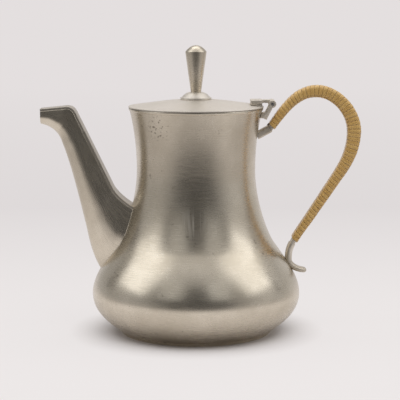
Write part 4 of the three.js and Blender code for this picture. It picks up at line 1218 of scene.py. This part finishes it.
def dark_card(name, azimuth, width):
    """An upright dark card beside the pot, seen only as a soft stripe in the metal."""
    a = radians(azimuth)
    middle = CARD_DISTANCE * Vector((sin(a), -cos(a), 0))
    side = 0.5 * width * Vector((cos(a), sin(a), 0))
    low = Vector((0, 0, CARD_BOTTOM))
    high = Vector((0, 0, CARD_TOP))
    corners = (middle - side + low, middle + side + low, middle + side + high, middle - side + high)
    card = stage_sheet(name, corners, [(0, 1, 2, 3)], painted(name, Base_Color=CARD_COLOUR, Roughness=0.9)[0])
    card.visible_camera = card.visible_shadow = card.visible_diffuse = False


# Brightness of the room by degrees round from the camera's side, towards the spout when below nothing
ROOM_ROUND = ((-160, 0.80), (-128, 0.60), (-93, 0.50), (-73, 0.54), (-52, 0.44), (-28, 0.14), (0, 0.11),
              (28, 0.15), (46, 0.42), (67, 0.68), (85, 0.70), (101, 0.55), (121, 0.80), (160, 0.85))
ROOM_COLOUR = (0.77, 0.755, 0.75, 1)
ROOM_SPREAD = 0.7
ROOM_TOP = 1.0
ROOM_TOP_FROM = 40
ROOM_TOP_TO = 68


def room():
    """A world that is pale behind the pot, dim on the camera's side and lit from above."""
    world = bpy.data.worlds.new("room")
    bpy.context.scene.world = world
    world.use_nodes = True
    nodes = Nodes(world.node_tree)
    x, y, z = nodes.axes(nodes.add("TexCoord"))
    elevation = nodes.maths("ARCSINE", z)
    azimuth = nodes.maths("ARCTAN2", x, nodes.times(y, -1.0))
    risen = nodes.maths("MAXIMUM", elevation, 0.0)
    spread = nodes.maths("ADD", 1.0, nodes.times(risen, ROOM_SPREAD))
    drawn_in = nodes.maths("DIVIDE", azimuth, spread)
    ramp = nodes.add("ValToRGB", {0: nodes.rising(drawn_in, -pi, pi)})
    stops = ramp.node.color_ramp.elements
    ready = len(stops)
    for i, (degrees, level) in enumerate(ROOM_ROUND):
        position = degrees / 360 + 0.5
        stop = stops[i] if i < ready else stops.new(position)
        stop.position = position
        stop.color = (level, level, level, 1)
    top = nodes.rising(elevation, radians(ROOM_TOP_FROM), radians(ROOM_TOP_TO),
                       interpolation_type="SMOOTHSTEP")
    level = nodes.add("Mix", {0: top, 2: ramp, 3: ROOM_TOP}, data_type="FLOAT")
    strength = nodes.add("Mix", {0: nodes.add("LightPath"), 2: level, 3: 1.0}, data_type="FLOAT")
    nodes.set(world.node_tree.nodes["Background"], {"Color": ROOM_COLOUR, "Strength": strength})


# Assembly

room()
floor()
for side, name in ((-1, "left"), (1, "right")):
    softbox(name + "_outer", azimuth=side * 84, elevation=43, width=1.0, height=1.0, level=OUTER_LEVEL)
    softbox(name + "_inner", azimuth=side * 30, elevation=34, width=0.55, height=0.6, level=INNER_LEVEL)
softbox("fill", azimuth=10, elevation=62, width=1.0, height=1.0, level=FILL_LEVEL, mirrored=False)
softbox("top", azimuth=180, elevation=72, width=1.0, height=0.6, level=TOP_LEVEL)
dark_card("left_card", azimuth=-112, width=0.12)
dark_card("right_card", azimuth=102, width=0.05)
body()
base_plate()
lid_plate()
lid_bezel()
finial_rosette()
finial_knob()
spout_channel()
spout_back()
spout_seams()
handle_bar()
cane_wrap()
small_pieces()
